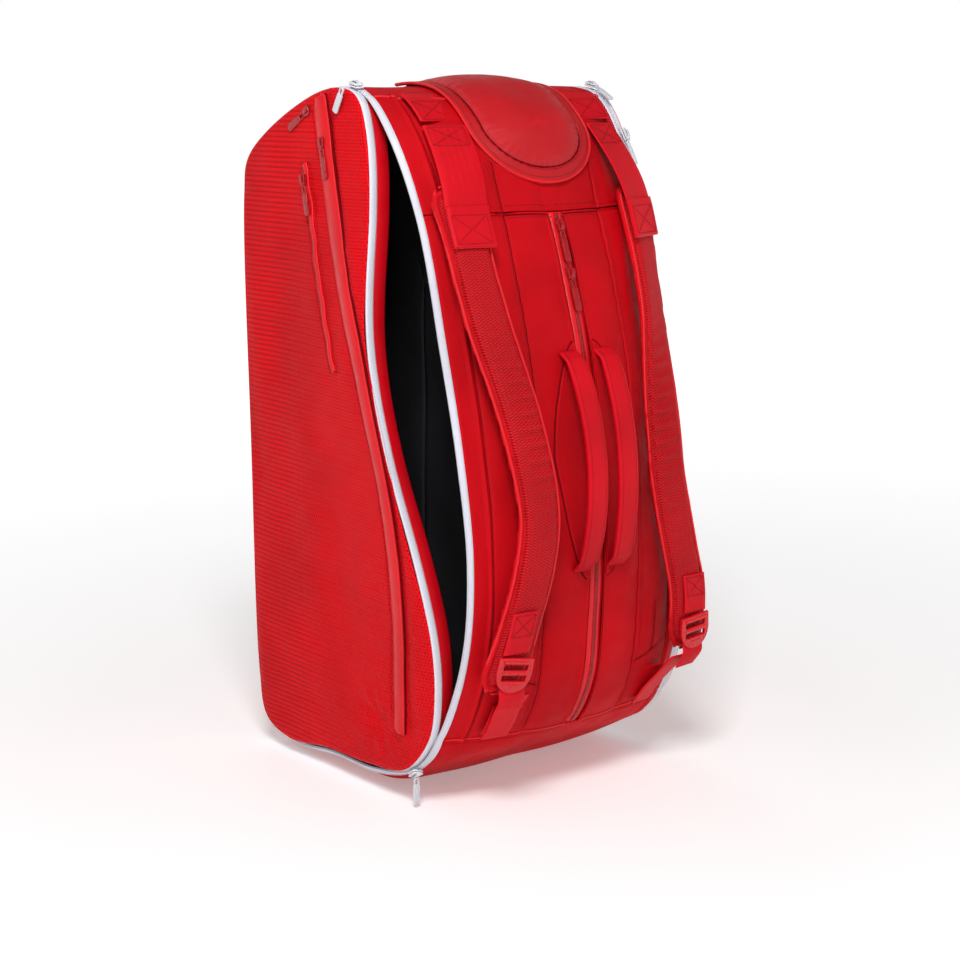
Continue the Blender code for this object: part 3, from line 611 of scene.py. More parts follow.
class Piece:
    """Points and faces gathered for one object."""

    def __init__(self):
        self.points, self.weave, self.faces, self.kinds = [], [], [], []
        self.count = 0

    def add(self, points, faces, weave=None, kind=0):
        points = np.asarray(points, float).reshape(-1, 3)
        weave = points if weave is None else np.asarray(weave, float).reshape(-1, 3)
        if all(len(f) == 4 for f in faces):
            faces = quick_faced_out(points, faces)
        else:
            faces = faced_out(points, faces)
        self.points.append(points)
        self.weave.append(weave)
        self.faces.extend([i + self.count for i in f] for f in faces)
        self.kinds.extend([kind] * len(faces))
        self.count += len(points)

    def grid(self, points, weave):
        """Adds a sheet of points kept row by row."""
        self.add(points, lattice(*points.shape[:2]), weave)

    def build(self, name, looks, body_name, replaces=(), sharp=None, bend=None, weld=0.0):
        """Makes the object, with its looks in the order of the faces' kinds."""
        looks = [looks] if isinstance(looks, str) else looks
        mesh = bpy.data.meshes.new(name)
        mesh.from_pydata(np.concatenate(self.points).tolist(), [], self.faces)
        mesh.polygons.foreach_set("material_index", self.kinds)
        cloth = mesh.attributes.new("weave", "FLOAT_VECTOR", "POINT")
        cloth.data.foreach_set("vector", np.concatenate(self.weave).ravel().astype(np.float32))
        if weld:
            bm = bmesh.new()
            bm.from_mesh(mesh)
            bmesh.ops.remove_doubles(bm, verts=bm.verts, dist=weld)
            bm.to_mesh(mesh)
            bm.free()
        for look in looks:
            mesh.materials.append(LOOKS[look])
        mesh.shade_smooth()
        if sharp:
            mesh.set_sharp_from_angle(angle=math.radians(sharp))
        item = bpy.data.objects.new(name, mesh)
        bpy.context.scene.collection.objects.link(item)
        if bend:
            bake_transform(item)
        else:
            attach(item, body_name)
        if replaces:
            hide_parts(*([replaces] if isinstance(replaces, str) else replaces))
        return item


def thicken(item, thickness, inner=0, offset=-1.0):
    """Gives a sheet its thickness; inner is the place of its inside's look."""
    solid = item.modifiers.new("thickness", "SOLIDIFY")
    solid.thickness = thickness
    solid.offset = offset
    solid.use_even_offset = True
    solid.material_offset = inner
    return item


def smooth(points, count):
    """Catmull-Rom through an open list of points, read at evenly spaced shares."""
    p = np.array([2 * np.array(points[0]) - points[1], *points, 2 * np.array(points[-1]) - points[-2]], float)
    at = np.linspace(0.0, len(points) - 1 - 1e-9, count)
    i = at.astype(int)
    t = (at - i)[:, None]
    a, b, c, d = p[i], p[i + 1], p[i + 2], p[i + 3]
    square, cube = (2 * a - 5 * b + 4 * c - d) * t ** 2, (3 * b - a - 3 * c + d) * t ** 3
    return 0.5 * (2 * b + (c - a) * t + square + cube)


def run_along(line):
    """Length along a line at each of its points."""
    return np.concatenate([[0.0], np.cumsum(np.linalg.norm(np.diff(line, axis=0), axis=1))])


class Ribbon:
    """A line with a half-width vector and an outward direction at each of its stations."""

    def __init__(self, centres, sides, out=(0.0, -1.0, 0.0)):
        self.centres, self.sides = np.asarray(centres, float), np.asarray(sides, float)
        ahead = np.gradient(self.centres, axis=0)
        outs = unit(np.cross(ahead, self.sides))
        towards = np.broadcast_to(np.asarray(out, float), outs.shape)
        self.outs = outs * np.where(np.sum(outs * towards, axis=1, keepdims=True) < 0.0, -1.0, 1.0)
        self.run = run_along(self.centres)

    @property
    def length(self):
        return self.run[-1]

    def at(self, across, along, height=0.0):
        """Points at a share of the half width, a length along and a height off the ribbon."""
        across, along, height = np.broadcast_arrays(np.asarray(across, float), along, height)
        def read_at(rows):
            return np.stack([np.interp(along, self.run, rows[:, i]) for i in range(3)], -1)
        out = unit(read_at(self.outs))
        return read_at(self.centres) + read_at(self.sides) * across[..., None] + out * height[..., None], out


def end_faces(rows, cols):
    """The two faces that close a tube made of rings."""
    return [list(range(cols))[::-1], [(rows - 1) * cols + i for i in range(cols)]]


def swept(piece, ribbon, section, wide=None, deep=None):
    """Carries a closed section of (share of half width, height) along a ribbon."""
    section = np.asarray(section, float)
    rows, cols = len(ribbon.centres), len(section)
    wide = np.ones(rows) if wide is None else np.asarray(wide)
    deep = np.ones(rows) if deep is None else np.asarray(deep)
    across = wide[:, None] * section[:, 0]
    height = deep[:, None] * section[:, 1]
    points = (ribbon.centres[:, None] + ribbon.sides[:, None] * across[..., None]
              + ribbon.outs[:, None] * height[..., None])
    half = np.linalg.norm(ribbon.sides, axis=1)[:, None]
    weave = np.stack([across * half, np.broadcast_to(ribbon.run[:, None], across.shape), height], -1)
    piece.add(points, lattice(rows, cols, wrap=True) + end_faces(rows, cols), weave)


def flat_section(thick, base=0.0, crown=0.0, columns=6):
    """Webbing: flat, with rounded edges, its underside at the base height."""
    across = np.linspace(-0.96, 0.96, columns + 1)
    upper = [(a, base + thick + crown * (1.0 - a * a)) for a in across]
    lower = [(a, base) for a in across[::-1]]
    middle = base + thick / 2.0
    return upper + [(1.0, middle)] + lower + [(-1.0, middle)]


def oval_section(thick, power=0.6, sides=16):
    """A soft closed section, squarer as its power falls."""
    points = []
    for i in range(sides):
        c, s = math.cos(2.0 * math.pi * i / sides), math.sin(2.0 * math.pi * i / sides)
        points.append((math.copysign(abs(c) ** power, c), math.copysign(abs(s) ** power, s) * thick / 2.0))
    return points


def tube(piece, line, radius, kind=0, sides=8):
    """A round cord sewn along a line."""
    line = np.asarray(line, float)
    ahead = unit(np.gradient(line, axis=0))
    helper = np.where(np.abs(ahead[:, :1]) > 0.8, np.array([[0.0, 0.0, 1.0]]), np.array([[1.0, 0.0, 0.0]]))
    side = unit(np.cross(ahead, helper))
    up = np.cross(ahead, side)
    turn = np.linspace(0.0, 2.0 * math.pi, sides, endpoint=False)
    ring = side[:, None] * np.cos(turn)[:, None] + up[:, None] * np.sin(turn)[:, None]
    points = line[:, None] + ring * radius
    run = run_along(line)
    weave = np.stack([np.broadcast_to(turn * radius, points.shape[:2]),
                      np.broadcast_to(run[:, None], points.shape[:2]), np.zeros(points.shape[:2])], -1)
    rows = len(line)
    piece.add(points, lattice(rows, sides, wrap=True) + end_faces(rows, sides), weave, kind)


def spread_along(line, pitch, *others):
    """Reads a line, and rows that go with it, at even steps."""
    line = np.asarray(line, float)
    run = run_along(line)
    at = np.arange(pitch / 2.0, run[-1], pitch)
    return [np.stack([np.interp(at, run, rows[:, i]) for i in range(3)], -1) for rows in (line, *others)]


GRAIN = np.array([(0, -0.5, 0.0), (-1, -0.28, 0), (0, -0.28, 1), (1, -0.28, 0), (-1, 0.28, 0), (0, 0.28, 1),
                  (1, 0.28, 0), (0, 0.5, 0.0)], float)
GRAIN_FACES = [(0, 2, 1), (0, 3, 2), (1, 2, 5, 4), (2, 3, 6, 5), (4, 5, 7), (5, 6, 7), (0, 1, 3),
               (1, 4, 6, 3), (4, 7, 6)]
BLOCK = np.array([(x, y, z) for x in (-0.5, 0.5) for y in (-0.5, 0.5) for z in (0.0, 1.0)], float)
BLOCK_FACES = [(0, 1, 3, 2), (4, 6, 7, 5), (0, 4, 5, 1), (2, 3, 7, 6), (0, 2, 6, 4), (1, 5, 7, 3)]


def strew(piece, shape, shape_faces, size, line, outs, kind=0):
    """Repeats a small form along a line: its Y runs along it and its Z points out."""
    ahead = unit(np.gradient(line, axis=0))
    side = unit(np.cross(ahead, outs))
    up = np.cross(side, ahead)
    local = shape * np.asarray(size)
    points = (line[:, None] + side[:, None] * local[:, :1] + ahead[:, None] * local[:, 1:2]
              + up[:, None] * local[:, 2:])
    count = len(shape)
    faces = [[i + n * count for i in f] for n in range(len(line)) for f in shape_faces]
    piece.points.append(points.reshape(-1, 3))
    piece.weave.append(points.reshape(-1, 3))
    piece.faces.extend([i + piece.count for i in f] for f in faces)
    piece.kinds.extend([kind] * len(faces))
    piece.count += points.shape[0] * count


THREADS = {}


def stitch(body_name, line, outs, pitch=0.0034, size=(0.00042, 0.0026, 0.00045), look="thread"):
    """A row of thread stitches on a seam."""
    line, outs = spread_along(line, pitch, np.broadcast_to(outs, np.shape(line)))
    if len(line) > 1:
        strew(THREADS.setdefault((body_name, look), Piece()), GRAIN, GRAIN_FACES, size, line, unit(outs))


STITCH_LIFT = 0.0002         # stitches lie just over the cloth


def face_stitch(x, z, height=STITCH_LIFT):
    """A row of stitches on the strap face."""
    stitch("carcass", face(x, z, height), out_of(x, z))


def seam(body_name, line, radius=0.0007):
    """A sewn seam's groove, drawn as a thin dark line: painted shade along the seam."""
    tube(THREADS.setdefault((body_name, "seam"), Piece()), line, radius, sides=6)


def rounded(x0, x1, y0, y1, radius):
    """Outline of a rectangle with round corners."""
    radius = min(radius, (x1 - x0) / 2.0 - 1e-5, (y1 - y0) / 2.0 - 1e-5)
    corners = ((x1 - radius, y1 - radius, 0), (x0 + radius, y1 - radius, 1), (x0 + radius, y0 + radius, 2),
               (x1 - radius, y0 + radius, 3))
    points = []
    for x, y, quarter in corners:
        for i in range(ROUND_STEPS + 1):
            angle = (quarter + i / ROUND_STEPS) * math.pi / 2.0
            points.append((x + radius * math.cos(angle), y + radius * math.sin(angle)))
    return points


def plate(piece, outline, thickness, matrix, bevel, holes=(), lift=0.0):
    """A flat moulded form with rounded edges, its thickness centred on the matrix's XY plane."""
    curve = bpy.data.curves.new("plate", "CURVE")
    curve.dimensions = "2D"
    curve.fill_mode = "BOTH"
    curve.extrude = thickness / 2.0 - bevel
    curve.bevel_depth = bevel
    curve.bevel_resolution = 2
    curve.offset = -bevel
    for loop in (outline, *holes):
        line = curve.splines.new("POLY")
        line.points.add(len(loop) - 1)
        for slot, (x, y) in zip(line.points, loop):
            slot.co = (x, y, 0.0, 1.0)
        line.use_cyclic_u = True
    item = bpy.data.objects.new("plate", curve)
    bm = bmesh.new()
    bm.from_mesh(item.to_mesh())
    bmesh.ops.remove_doubles(bm, verts=bm.verts, dist=WELD)
    local = np.array([v.co for v in bm.verts]) + (0.0, 0.0, lift)
    faces = [[v.index for v in f.verts] for f in bm.faces]
    bm.free()
    bpy.data.objects.remove(item)
    bpy.data.curves.remove(curve)
    piece.add(placed(local, matrix), faces, local)


def placed(points, matrix):
    """Points carried by a matrix."""
    turn = np.array(matrix)
    return points @ turn[:3, :3].T + turn[:3, 3]


def frame_at(origin, lengthwise, outward):
    """Matrix whose Y runs along the zip and whose Z points out of the bag."""
    y = Vector(lengthwise).normalized()
    outward = Vector(outward)
    z = (outward - y * outward.dot(y)).normalized()
    turn = Matrix((y.cross(z), y, z)).transposed().to_4x4()
    return Matrix.Translation(Vector(origin)) @ turn


# Sewn carcass
PANEL_THICK = 0.004
PANEL_CUT = 0.0009           # clearance between neighbouring panels


def panel(name, lengths, xs, look, keep=None):
    """A sewn panel laid on the loft between two distances round it and two x."""
    xs = np.asarray(xs)
    lengths = np.asarray(lengths)
    lengths = np.clip(lengths, lengths[0] + PANEL_CUT, lengths[-1] - PANEL_CUT)
    x, along = np.meshgrid(xs, lengths)
    points = skin(x, key_of(along))
    faces = lattice(*x.shape)
    if keep:
        corner = np.array(faces)
        flat_x, flat_l = x.ravel()[corner].mean(axis=1), along.ravel()[corner].mean(axis=1)
        faces = [f for f, stays in zip(faces, keep(flat_x, flat_l)) if stays]
    piece = Piece()
    piece.add(points, faces, flat(x, along))
    item = piece.build(name, [look, "lining"], "carcass", name)
    return thicken(item, PANEL_THICK, inner=1)


SEAM_XS = (LANE_SEAM, LANE_SEAM + 0.0045, LIP_PIPING, LIP_PIPING - 0.004)
ACROSS = spaced(0.0099, PANEL_EDGE, 0.0028, (0.012, *SEAM_XS))
MOUTH_LOW = length_at(key("shoulder") + 0.47)
MOUTH_TOP = length_at(key("top_mid") + 0.35)


def outside_mouth(x, along):
    """Clear of the opening of the end pocket, under its flap."""
    round_end = np.clip((along - MOUTH_LOW) / 0.045, 0.0, 1.0)
    half = MOUTH_HALF * np.sqrt(np.maximum(0.0, 1.0 - (1.0 - round_end) ** 2))
    return ~((np.abs(x) < half) & (along < MOUTH_TOP))


def make_carcass():
    whole = np.concatenate([-ACROSS[::-1], [-0.006, -0.002, 0.002, 0.006], ACROSS])
    edges = ("heel_high", "shoulder", "top_back", "front_top", "front_low")
    heel, shoulder, top, front_top, front_low = (length_at(key(name)) for name in edges)
    one_turn = LENGTHS[-1]
    for side, s in SIDES:
        name = f"back_panel_{side}"
        low = length_at(key_at(s * 0.1, np.array(0.14)))
        lengths = spaced(heel, shoulder, 0.0035, (low, shoulder - 0.004), near=0.012)
        panel(name, lengths, s * ACROSS, "cloth")
    yoke = spaced(shoulder, top, 0.003, (shoulder + 0.004,), near=0.006)
    panel("back_yoke", yoke, whole, "cloth", keep=outside_mouth)
    coarse = np.linspace(-PANEL_EDGE, PANEL_EDGE, 80)
    panel("top_end_panel", spaced(top, front_top, 0.004), coarse, "cloth", keep=outside_mouth)
    base = spaced(front_low - one_turn, heel, 0.005)
    panel("base_panel", base, coarse, "cloth")
    wide = np.linspace(-FRONT_EDGE, FRONT_EDGE, 84)
    panel("front_panel", spaced(front_top, front_low, 0.005), wide, "side")
    for side, s in SIDES:
        z = np.linspace(0.085, 0.688, 400)
        for x in (LANE_SEAM + 0.0035, LANE_SEAM + 0.0065):
            face_stitch(s * x, z)
        z = np.linspace(0.085, 0.745, 400)
        face_stitch(s * (LIP_PIPING - 0.004), z)
        z = np.linspace(0.085, 0.690, 200)
        # The dark seam lines below are painted shade in the seam grooves.
        seam("carcass", face(s * LANE_SEAM, z, -0.0001))
        seam("carcass", face(s * (LIP_PIPING - 0.0045), z, -0.0003))
        z = np.linspace(0.090, SEAM_Z - 0.004, 160)
        seam("carcass", face(s * 0.0104, z, 0.0), 0.0005)
        for a, b in (((0.071, 0.1425), (0.134, 0.1625)), ((0.0975, 0.150), (0.1015, 0.207))):
            t = np.linspace(0.0, 1.0, 30)
            x, z = s * (a[0] + (b[0] - a[0]) * t), a[1] + (b[1] - a[1]) * t
            face_stitch(x, z)
            seam("carcass", face(x, z - 0.0025, -0.0001))
    x = np.linspace(-0.066, 0.066, 80)
    seam("carcass", face(x, SEAM_Z - 0.0033, -0.0001))
    for z in (SEAM_Z - 0.0062, SEAM_Z + 0.0062):
        face_stitch(x, z)


def make_end_seams():
    """Piping where the top end, the base and the front panel meet their neighbours."""
    piece = Piece()
    for name, gap in (("top_back", 0.080), ("front_top", 0.0), ("front_low", 0.0), ("heel_high", 0.0103)):
        k = key(name)
        reach = FRONT_EDGE if name.startswith("front") else PANEL_EDGE
        runs = ((-reach, -gap), (gap, reach)) if gap else ((-reach, reach),)
        for start, end in runs:
            x = np.linspace(start, end, 60)
            radius = 0.0011 if name == "heel_high" else 0.0016
            tube(piece, skin(x, np.full_like(x, k), 0.0003), radius)
            beside = k + (0.10 if name == "top_back" else -0.10)
            stitch("carcass", skin(x, np.full_like(x, beside), 0.0002), normal(x, np.full_like(x, beside)))
    piece.build("end_piping", "piping", "carcass")


CORNER_X = 0.1697            # the covers fold back on this line
CORNER_RADIUS = 0.0032


def make_corner_piping():
    """Thick piping sewn along the line on which each cover folds back."""
    ks = np.linspace(key("front_top"), key("front_low"), 80)
    piece = Piece()
    for _, s in SIDES:
        tube(piece, skin(np.full_like(ks, s * CORNER_X), ks, -0.0010), CORNER_RADIUS)
    piece.build("corner_piping", "piping", "carcass")


def coil(piece, line, outs, size, pitch=0.0022, kind=0):
    """Zip teeth along a line."""
    line, outs = spread_along(line, pitch, outs)
    strew(piece, BLOCK, BLOCK_FACES, size, line, unit(outs), kind)


def make_centre_zip():
    """Tape with its coil down the middle, set between the folded edges of the back panels."""
    k0, k1 = key("heel_high") + 0.01, key("shoulder") - 0.01
    ks = np.linspace(k0, k1, 170)
    piece = Piece()
    x = np.array([-TAPE_HALF, -0.0062, -0.0046, -0.0026, 0.0, 0.0026, 0.0046, 0.0062, TAPE_HALF])
    high = np.array([0.0, 0.0004, 0.0016, 0.0008, 0.0004, 0.0008, 0.0016, 0.0004, 0.0]) - 0.0012
    grid_x, grid_k = np.meshgrid(x, ks)
    piece.grid(proud(grid_x, grid_k, np.broadcast_to(high, grid_x.shape)), flat(grid_x, length_at(grid_k)))
    item = piece.build("centre_zip_tape", "satin", "carcass", "centre_zip_tape")
    thicken(item, 0.0015)
    teeth = Piece()
    line = proud(np.zeros_like(ks), ks, -0.0006)
    coil(teeth, line, normal(np.zeros_like(ks), ks), (0.0044, 0.0013, 0.0012), 0.0021)
    teeth.build("centre_zip_coil", "coil", "carcass")


PATCH_LOW = 0.250
PATCH_HIGH = 0.503
PATCH_INNER = 0.0115


def handle_patch_half(z):
    """Half width of the oval patch that the carry handles are sewn to."""
    t = share_of(z, PATCH_LOW, PATCH_HIGH)
    return 0.0120 + 0.050 * np.minimum(1.0, 1.35 * t) ** 0.5 * np.clip((1.0 - t) * 2.1, 0.0, 1.0) ** 0.62


def make_handle_patches():
    for side, s in SIDES:
        z = np.linspace(0.2505, 0.5025, 90)
        share = np.concatenate([[0.0], np.linspace(0.04, 0.93, 16), [0.955, 0.972, 0.986, 1.0]])
        outer = handle_patch_half(z)
        across, height = np.meshgrid(share, z)
        x = PATCH_INNER + (outer[:, None] - PATCH_INNER) * across
        from_edge = np.minimum((outer[:, None] - x), np.minimum(height - z[0], z[-1] - height))
        lift = 0.0020 * ease(from_edge / 0.0022) + ridge(from_edge - 0.0045, 0.0012, -0.0007)
        piece = Piece()
        piece.grid(face(s * x, height, lift), flat(s * x, height))
        thicken(piece.build(f"{side}_handle_patch", "cloth", "carcass"), 0.0010)
        # Dark line round the patch's edge: painted shade.
        seam("carcass", face(s * (outer + 0.0004), z, 0.0001), 0.0009)
        for inset in (0.0045, 0.0080):
            wide_enough = outer - inset > PATCH_INNER + 0.002
            inside = z[wide_enough & (z > z[0] + inset) & (z < z[-1] - inset)]
            edge = s * (handle_patch_half(inside) - inset)
            face_stitch(edge, inside, 0.0016)


# The end pocket and its flap
FLAP_LOW = float(length_at(key_at(0.0, np.array(FLAP_BOTTOM_Z))))
FLAP_TOP = float(length_at(key("top_mid") + 0.5))
FLAP_ROUND = 0.062
FLAP_THICK = 0.0022
FLAP_GROOVE = 0.0165         # the stitched groove, in from the flap's edge
FLAP_DOME = 0.0085
FLAP_BEND = (0.0, 0.052, 0.77), (0.0, 0.012, 0.77)      # where its hinge's bend starts and ends


U_STEPS = 150


def u_line(half, low, high, curve):
    """A U on the loft as (x, distance round the bag), from its left top end to its right one."""
    turn = np.linspace(0.0, math.pi, U_STEPS // 2)
    bend_x, bend_l = -half * np.cos(turn), low + curve * (1.0 - np.sin(turn))
    legs = np.linspace(high, low + curve, U_STEPS // 4, endpoint=False)
    x = np.concatenate([np.full_like(legs, -half), bend_x, np.full_like(legs, half)])
    return x, np.concatenate([legs, bend_l, legs[::-1]])


def make_flap():
    """The padded U flap: a flat rim, a stitched groove and a stuffed, slightly gathered middle."""
    edge_x, edge_l = u_line(FLAP_HALF, FLAP_LOW, FLAP_TOP, FLAP_ROUND)
    spine_l = np.clip(edge_l, FLAP_LOW + FLAP_ROUND, FLAP_TOP)
    reach = np.hypot(edge_x, edge_l - spine_l)
    rim_depths = (0.0, 0.001, 0.0025, 0.005, 0.009, 0.0125, 0.014, 0.0150, 0.0160, 0.0170, 0.0185, 0.0205)
    middle_depths = (0.0235, 0.028, 0.034, 0.041, 0.049, 0.058, 0.067, 0.0745, FLAP_HALF)
    depths = np.array([*rim_depths, *middle_depths]) / FLAP_HALF
    share, row = np.meshgrid(depths, np.arange(len(edge_x)))
    x = edge_x[row] * (1.0 - share)
    along = edge_l[row] + (spine_l[row] - edge_l[row]) * share
    inset = reach[row] * share
    end = ease((FLAP_TOP - along) / 0.05)
    around = np.concatenate([[0.0], np.cumsum(np.hypot(np.diff(edge_x), np.diff(edge_l)))])
    gathers = np.sin(around[row] * 2.0 * math.pi / 0.011) * ridge(inset - 0.021, 0.009, 0.0006)
    dome = (1.0 - np.exp(-np.maximum(inset - FLAP_GROOVE, 0.0) / 0.016)) * FLAP_DOME
    sag = 0.0011 * slack(x, along, 0.07, 12)
    high = 0.0030 + 0.0014 * ease(inset / 0.003) + ridge(inset - FLAP_GROOVE, 0.0016, -0.0022)
    high = high + (dome + gathers + sag * ease(inset / 0.03)) * (0.35 + 0.65 * end)
    piece = Piece()
    piece.grid(proud(x, key_of(along), high), np.stack([x, along, inset], -1))
    bend = ("carcass", "shoe_flap", *FLAP_BEND)
    flap = piece.build("shoe_flap", ["flap", "lining"], "shoe_flap", "shoe_flap", bend=bend, weld=WELD)
    thicken(flap, FLAP_THICK, inner=1)
    rim = Piece()
    tube(rim, proud(edge_x, key_of(edge_l), 0.0032), 0.0017)
    rim.build("shoe_flap_piping", "piping", "shoe_flap", bend=bend)
    inner_share = FLAP_GROOVE / reach
    groove_x, groove_l = edge_x * (1.0 - inner_share), edge_l + (spine_l - edge_l) * inner_share
    # Dark line in the flap's stitched groove: painted shade.
    seam("shoe_flap", proud(groove_x, key_of(groove_l), 0.0030), 0.0009)
    for offset in (0.0045, 0.0135):
        part = offset / reach
        sx, sl = edge_x * (1.0 - part), edge_l + (spine_l - edge_l) * part
        stitch("shoe_flap", proud(sx, key_of(sl), 0.0046), normal(sx, key_of(sl)))


def make_pocket():
    """Lining bowl under the flap, with the zip tape that runs round its mouth."""
    half = MOUTH_HALF + 0.006
    k0, k1 = key("shoulder") + 0.44, key("top_mid") + 0.43
    u, v = np.meshgrid(np.linspace(0.0, 1.0, 42), np.linspace(0.0, 1.0, 46))
    rim = np.minimum(np.minimum(u, 1.0 - u), np.minimum(v, 1.0 - v)) * 2.0
    depth = 0.0050 + 0.030 * np.sin(math.pi / 2.0 * np.minimum(1.0, rim * 1.6))
    x, k = half * (2.0 * u - 1.0), k0 + (k1 - k0) * v
    depth = depth + 0.0012 * slack(x, length_at(k), 0.05, 8) * ease(rim * 2.0)
    piece = Piece()
    piece.grid(proud(x, k, -depth), np.stack([x, length_at(k), depth], -1))
    thicken(piece.build("shoe_pocket", "lining", "carcass", "shoe_pocket"), 0.0012)
    tape = Piece()
    edge_x, edge_l = u_line(MOUTH_HALF + 0.001, MOUTH_LOW - 0.001, MOUTH_TOP, 0.045)
    outer_x, outer_l = u_line(MOUTH_HALF + 0.009, MOUTH_LOW - 0.009, MOUTH_TOP, 0.053)
    share, row = np.meshgrid(np.linspace(-0.35, 1.0, 6), np.arange(len(edge_x)))
    x = edge_x[row] + (outer_x - edge_x)[row] * share
    along = edge_l[row] + (outer_l - edge_l)[row] * share
    tape.grid(skin(x, key_of(along), 0.0006), np.stack([share * 0.009, along, x], -1))
    thicken(tape.build("shoe_pocket_tape", "satin", "carcass"), 0.0008)


def make_dividers():
    """The padded walls between the three compartments."""
    for side, s in SIDES:
        x = s * DIVIDER_X
        ks = np.linspace(0.0, KEYS, 240, endpoint=False)
        high = ease((ks - key("shoulder")) / 0.15) * ease((key("chamfer_end") - 0.5 - ks) / 0.15)
        outline = proud(np.full_like(ks, x), ks, -(0.0085 + 0.0425 * high))
        spine = outline.copy()
        spine[:, 1] = 0.02
        spine[:, 2] = np.clip(outline[:, 2], 0.18, 0.55)
        share, row = np.meshgrid(np.linspace(0.0, 1.0, 34), np.arange(len(ks) + 1) % len(ks))
        points = outline[row] + (spine - outline)[row] * share[..., None]
        unevenness = slack(points[..., 1], points[..., 2] * 0.35, 0.10, 21 + int(s))
        points[..., 0] += 0.0028 * unevenness * ease(share * 5.0)
        piece = Piece()
        piece.grid(points, points[..., [1, 2, 0]])
        name = f"{side}_divider"
        wall = thicken(piece.build(name, "lining", "carcass", name), 0.003, offset=0.0)


# Side covers
COVER_MIDDLE = np.array((0.02, 0.37))
COVER_THICK = 0.0035
DIMPLE_AT = (-0.048, 0.085)
PUCKERS = 7.0                # folds round the dimple
STRIP_HALF = 0.0095
STRIP_TAPER = ((0.0, 0.05, 0.25, 0.60, 1.0), (0.60, 1.15, 1.50, 1.20, 0.80))
OUTLINE_KEYS = np.linspace(0.0, KEYS, 1400, endpoint=False)
OUTLINE_YZ = read(EDGE, OUTLINE_KEYS)
_reach = OUTLINE_YZ - COVER_MIDDLE
_order = np.argsort(np.arctan2(_reach[:, 1], _reach[:, 0]))
POLAR_ANGLE = np.arctan2(_reach[:, 1], _reach[:, 0])[_order]
POLAR_REACH = np.hypot(_reach[:, 0], _reach[:, 1])[_order]
COVER_INSETS = (0.0, 0.0006, 0.0018, 0.0040, 0.0085, 0.030, 0.080, 0.150)
COVER_XS = (0.1733, 0.1744, 0.1753, 0.1761, 0.1767, 0.1780, 0.1794, 0.1803)

STRIP_LINE = [
    (0.0415, 0.742), (0.010, 0.670), (-0.020, 0.608), (-0.052, 0.547), (-0.079, 0.495), (-0.100, 0.435),
    (-0.1165, 0.365), (-0.1195, 0.292), (-0.1120, 0.216), (-0.0985, 0.137), (-0.0900, 0.085),
]
POCKET_LINE = [(0.069, 0.686), (0.0405, 0.615), (0.0105, 0.542), (-0.0185, 0.467)]
STRIP = smooth([np.array(p) for p in STRIP_LINE], 240)
POCKET = smooth([np.array(p) for p in POCKET_LINE], 120)


def cover_x(inset):
    """Distance of the cover's face from the middle of the bag, level where the insets run out."""
    fade = np.exp(-np.maximum(inset - COVER_INSETS[4], 0.0) / 0.045)
    swell = COVER_XS[-1] - (COVER_XS[-1] - COVER_XS[4]) * fade
    return np.where(inset < COVER_INSETS[4], np.interp(inset, COVER_INSETS, COVER_XS), swell)


def inset_at(y, z):
    """How far a point of a side cover is in from its outline."""
    angle = np.arctan2(z - COVER_MIDDLE[1], y - COVER_MIDDLE[0])
    reach = np.hypot(y - COVER_MIDDLE[0], z - COVER_MIDDLE[1])
    return np.interp(angle, POLAR_ANGLE, POLAR_REACH, period=2.0 * math.pi) - reach


def beside(line, y, z):
    """Signed distance from a sewn line by height, positive towards the front, and how far within its ends."""
    order = np.argsort(line[:, 1])
    across = y - np.interp(z, line[order, 1], line[order, 0])
    ends = ease((z - line[:, 1].min()) / 0.02 + 0.5) * ease((line[:, 1].max() - z) / 0.02 + 0.5)
    return across, ends


def cover_relief(y, z, s):
    """Slack and sewn shape of a side cover."""
    inset = inset_at(y, z)
    inside = ease(inset / 0.035)
    h = 0.0022 * slack(y, z * 0.7, 0.16, 31 + int(s)) * inside
    h = h + 0.0009 * slack(y * 0.8, z, 0.055, 41 + int(s)) * inside
    across, ends = beside(STRIP, y, z)
    h = h * (1.0 - ridge(across, 0.022, 0.85))
    h = h + (ridge(np.abs(across) - 0.0135, 0.0040, -0.0020) + ridge(across + 0.030, 0.014, 0.0018)) * ends
    pocket, pocket_ends = beside(POCKET, y, z)
    h = h + ridge(np.abs(pocket) - 0.0085, 0.0025, -0.0011) * pocket_ends
    dy, dz = y - DIMPLE_AT[0], z - DIMPLE_AT[1]
    dimple = np.hypot(dy, dz / 0.8)
    h = h + ridge(dimple, 0.022, -0.0060) * ease(inset / 0.02)
    folds = np.sin(np.arctan2(dz, dy) * PUCKERS) * ridge(dimple - 0.030, 0.016, 0.0011)
    return h + folds * ease(inset / 0.02)


def cover_point(y, z, s, height=0.0):
    """Points over a side cover's outer face."""
    x = cover_x(inset_at(y, z)) + cover_relief(y, z, s) + height
    point = np.stack([s * x, y, z], -1)
    return opened(point) if s < 0.0 else point


def cover_out(y, z, s):
    """Outward directions of a side cover."""
    step = 0.002
    a = cover_point(y + step, z, s) - cover_point(y - step, z, s)
    b = cover_point(y, z + step, s) - cover_point(y, z - step, s)
    out = unit(np.cross(a, b))
    return out * np.where(out[..., :1] * s < 0.0, -1.0, 1.0)


def cover_bend(side, s):
    """Names the carcass and the cover, and the start and end of the line where the cover's cloth would bend
    as it is folded open; the build only checks that it is given.
    """
    start, end = (s * HINGE_X, HINGE_Y + 0.006, 0.4), (s * HINGE_X, HINGE_Y - 0.036, 0.4)
    return ("carcass", f"{side}_cover", start, end)


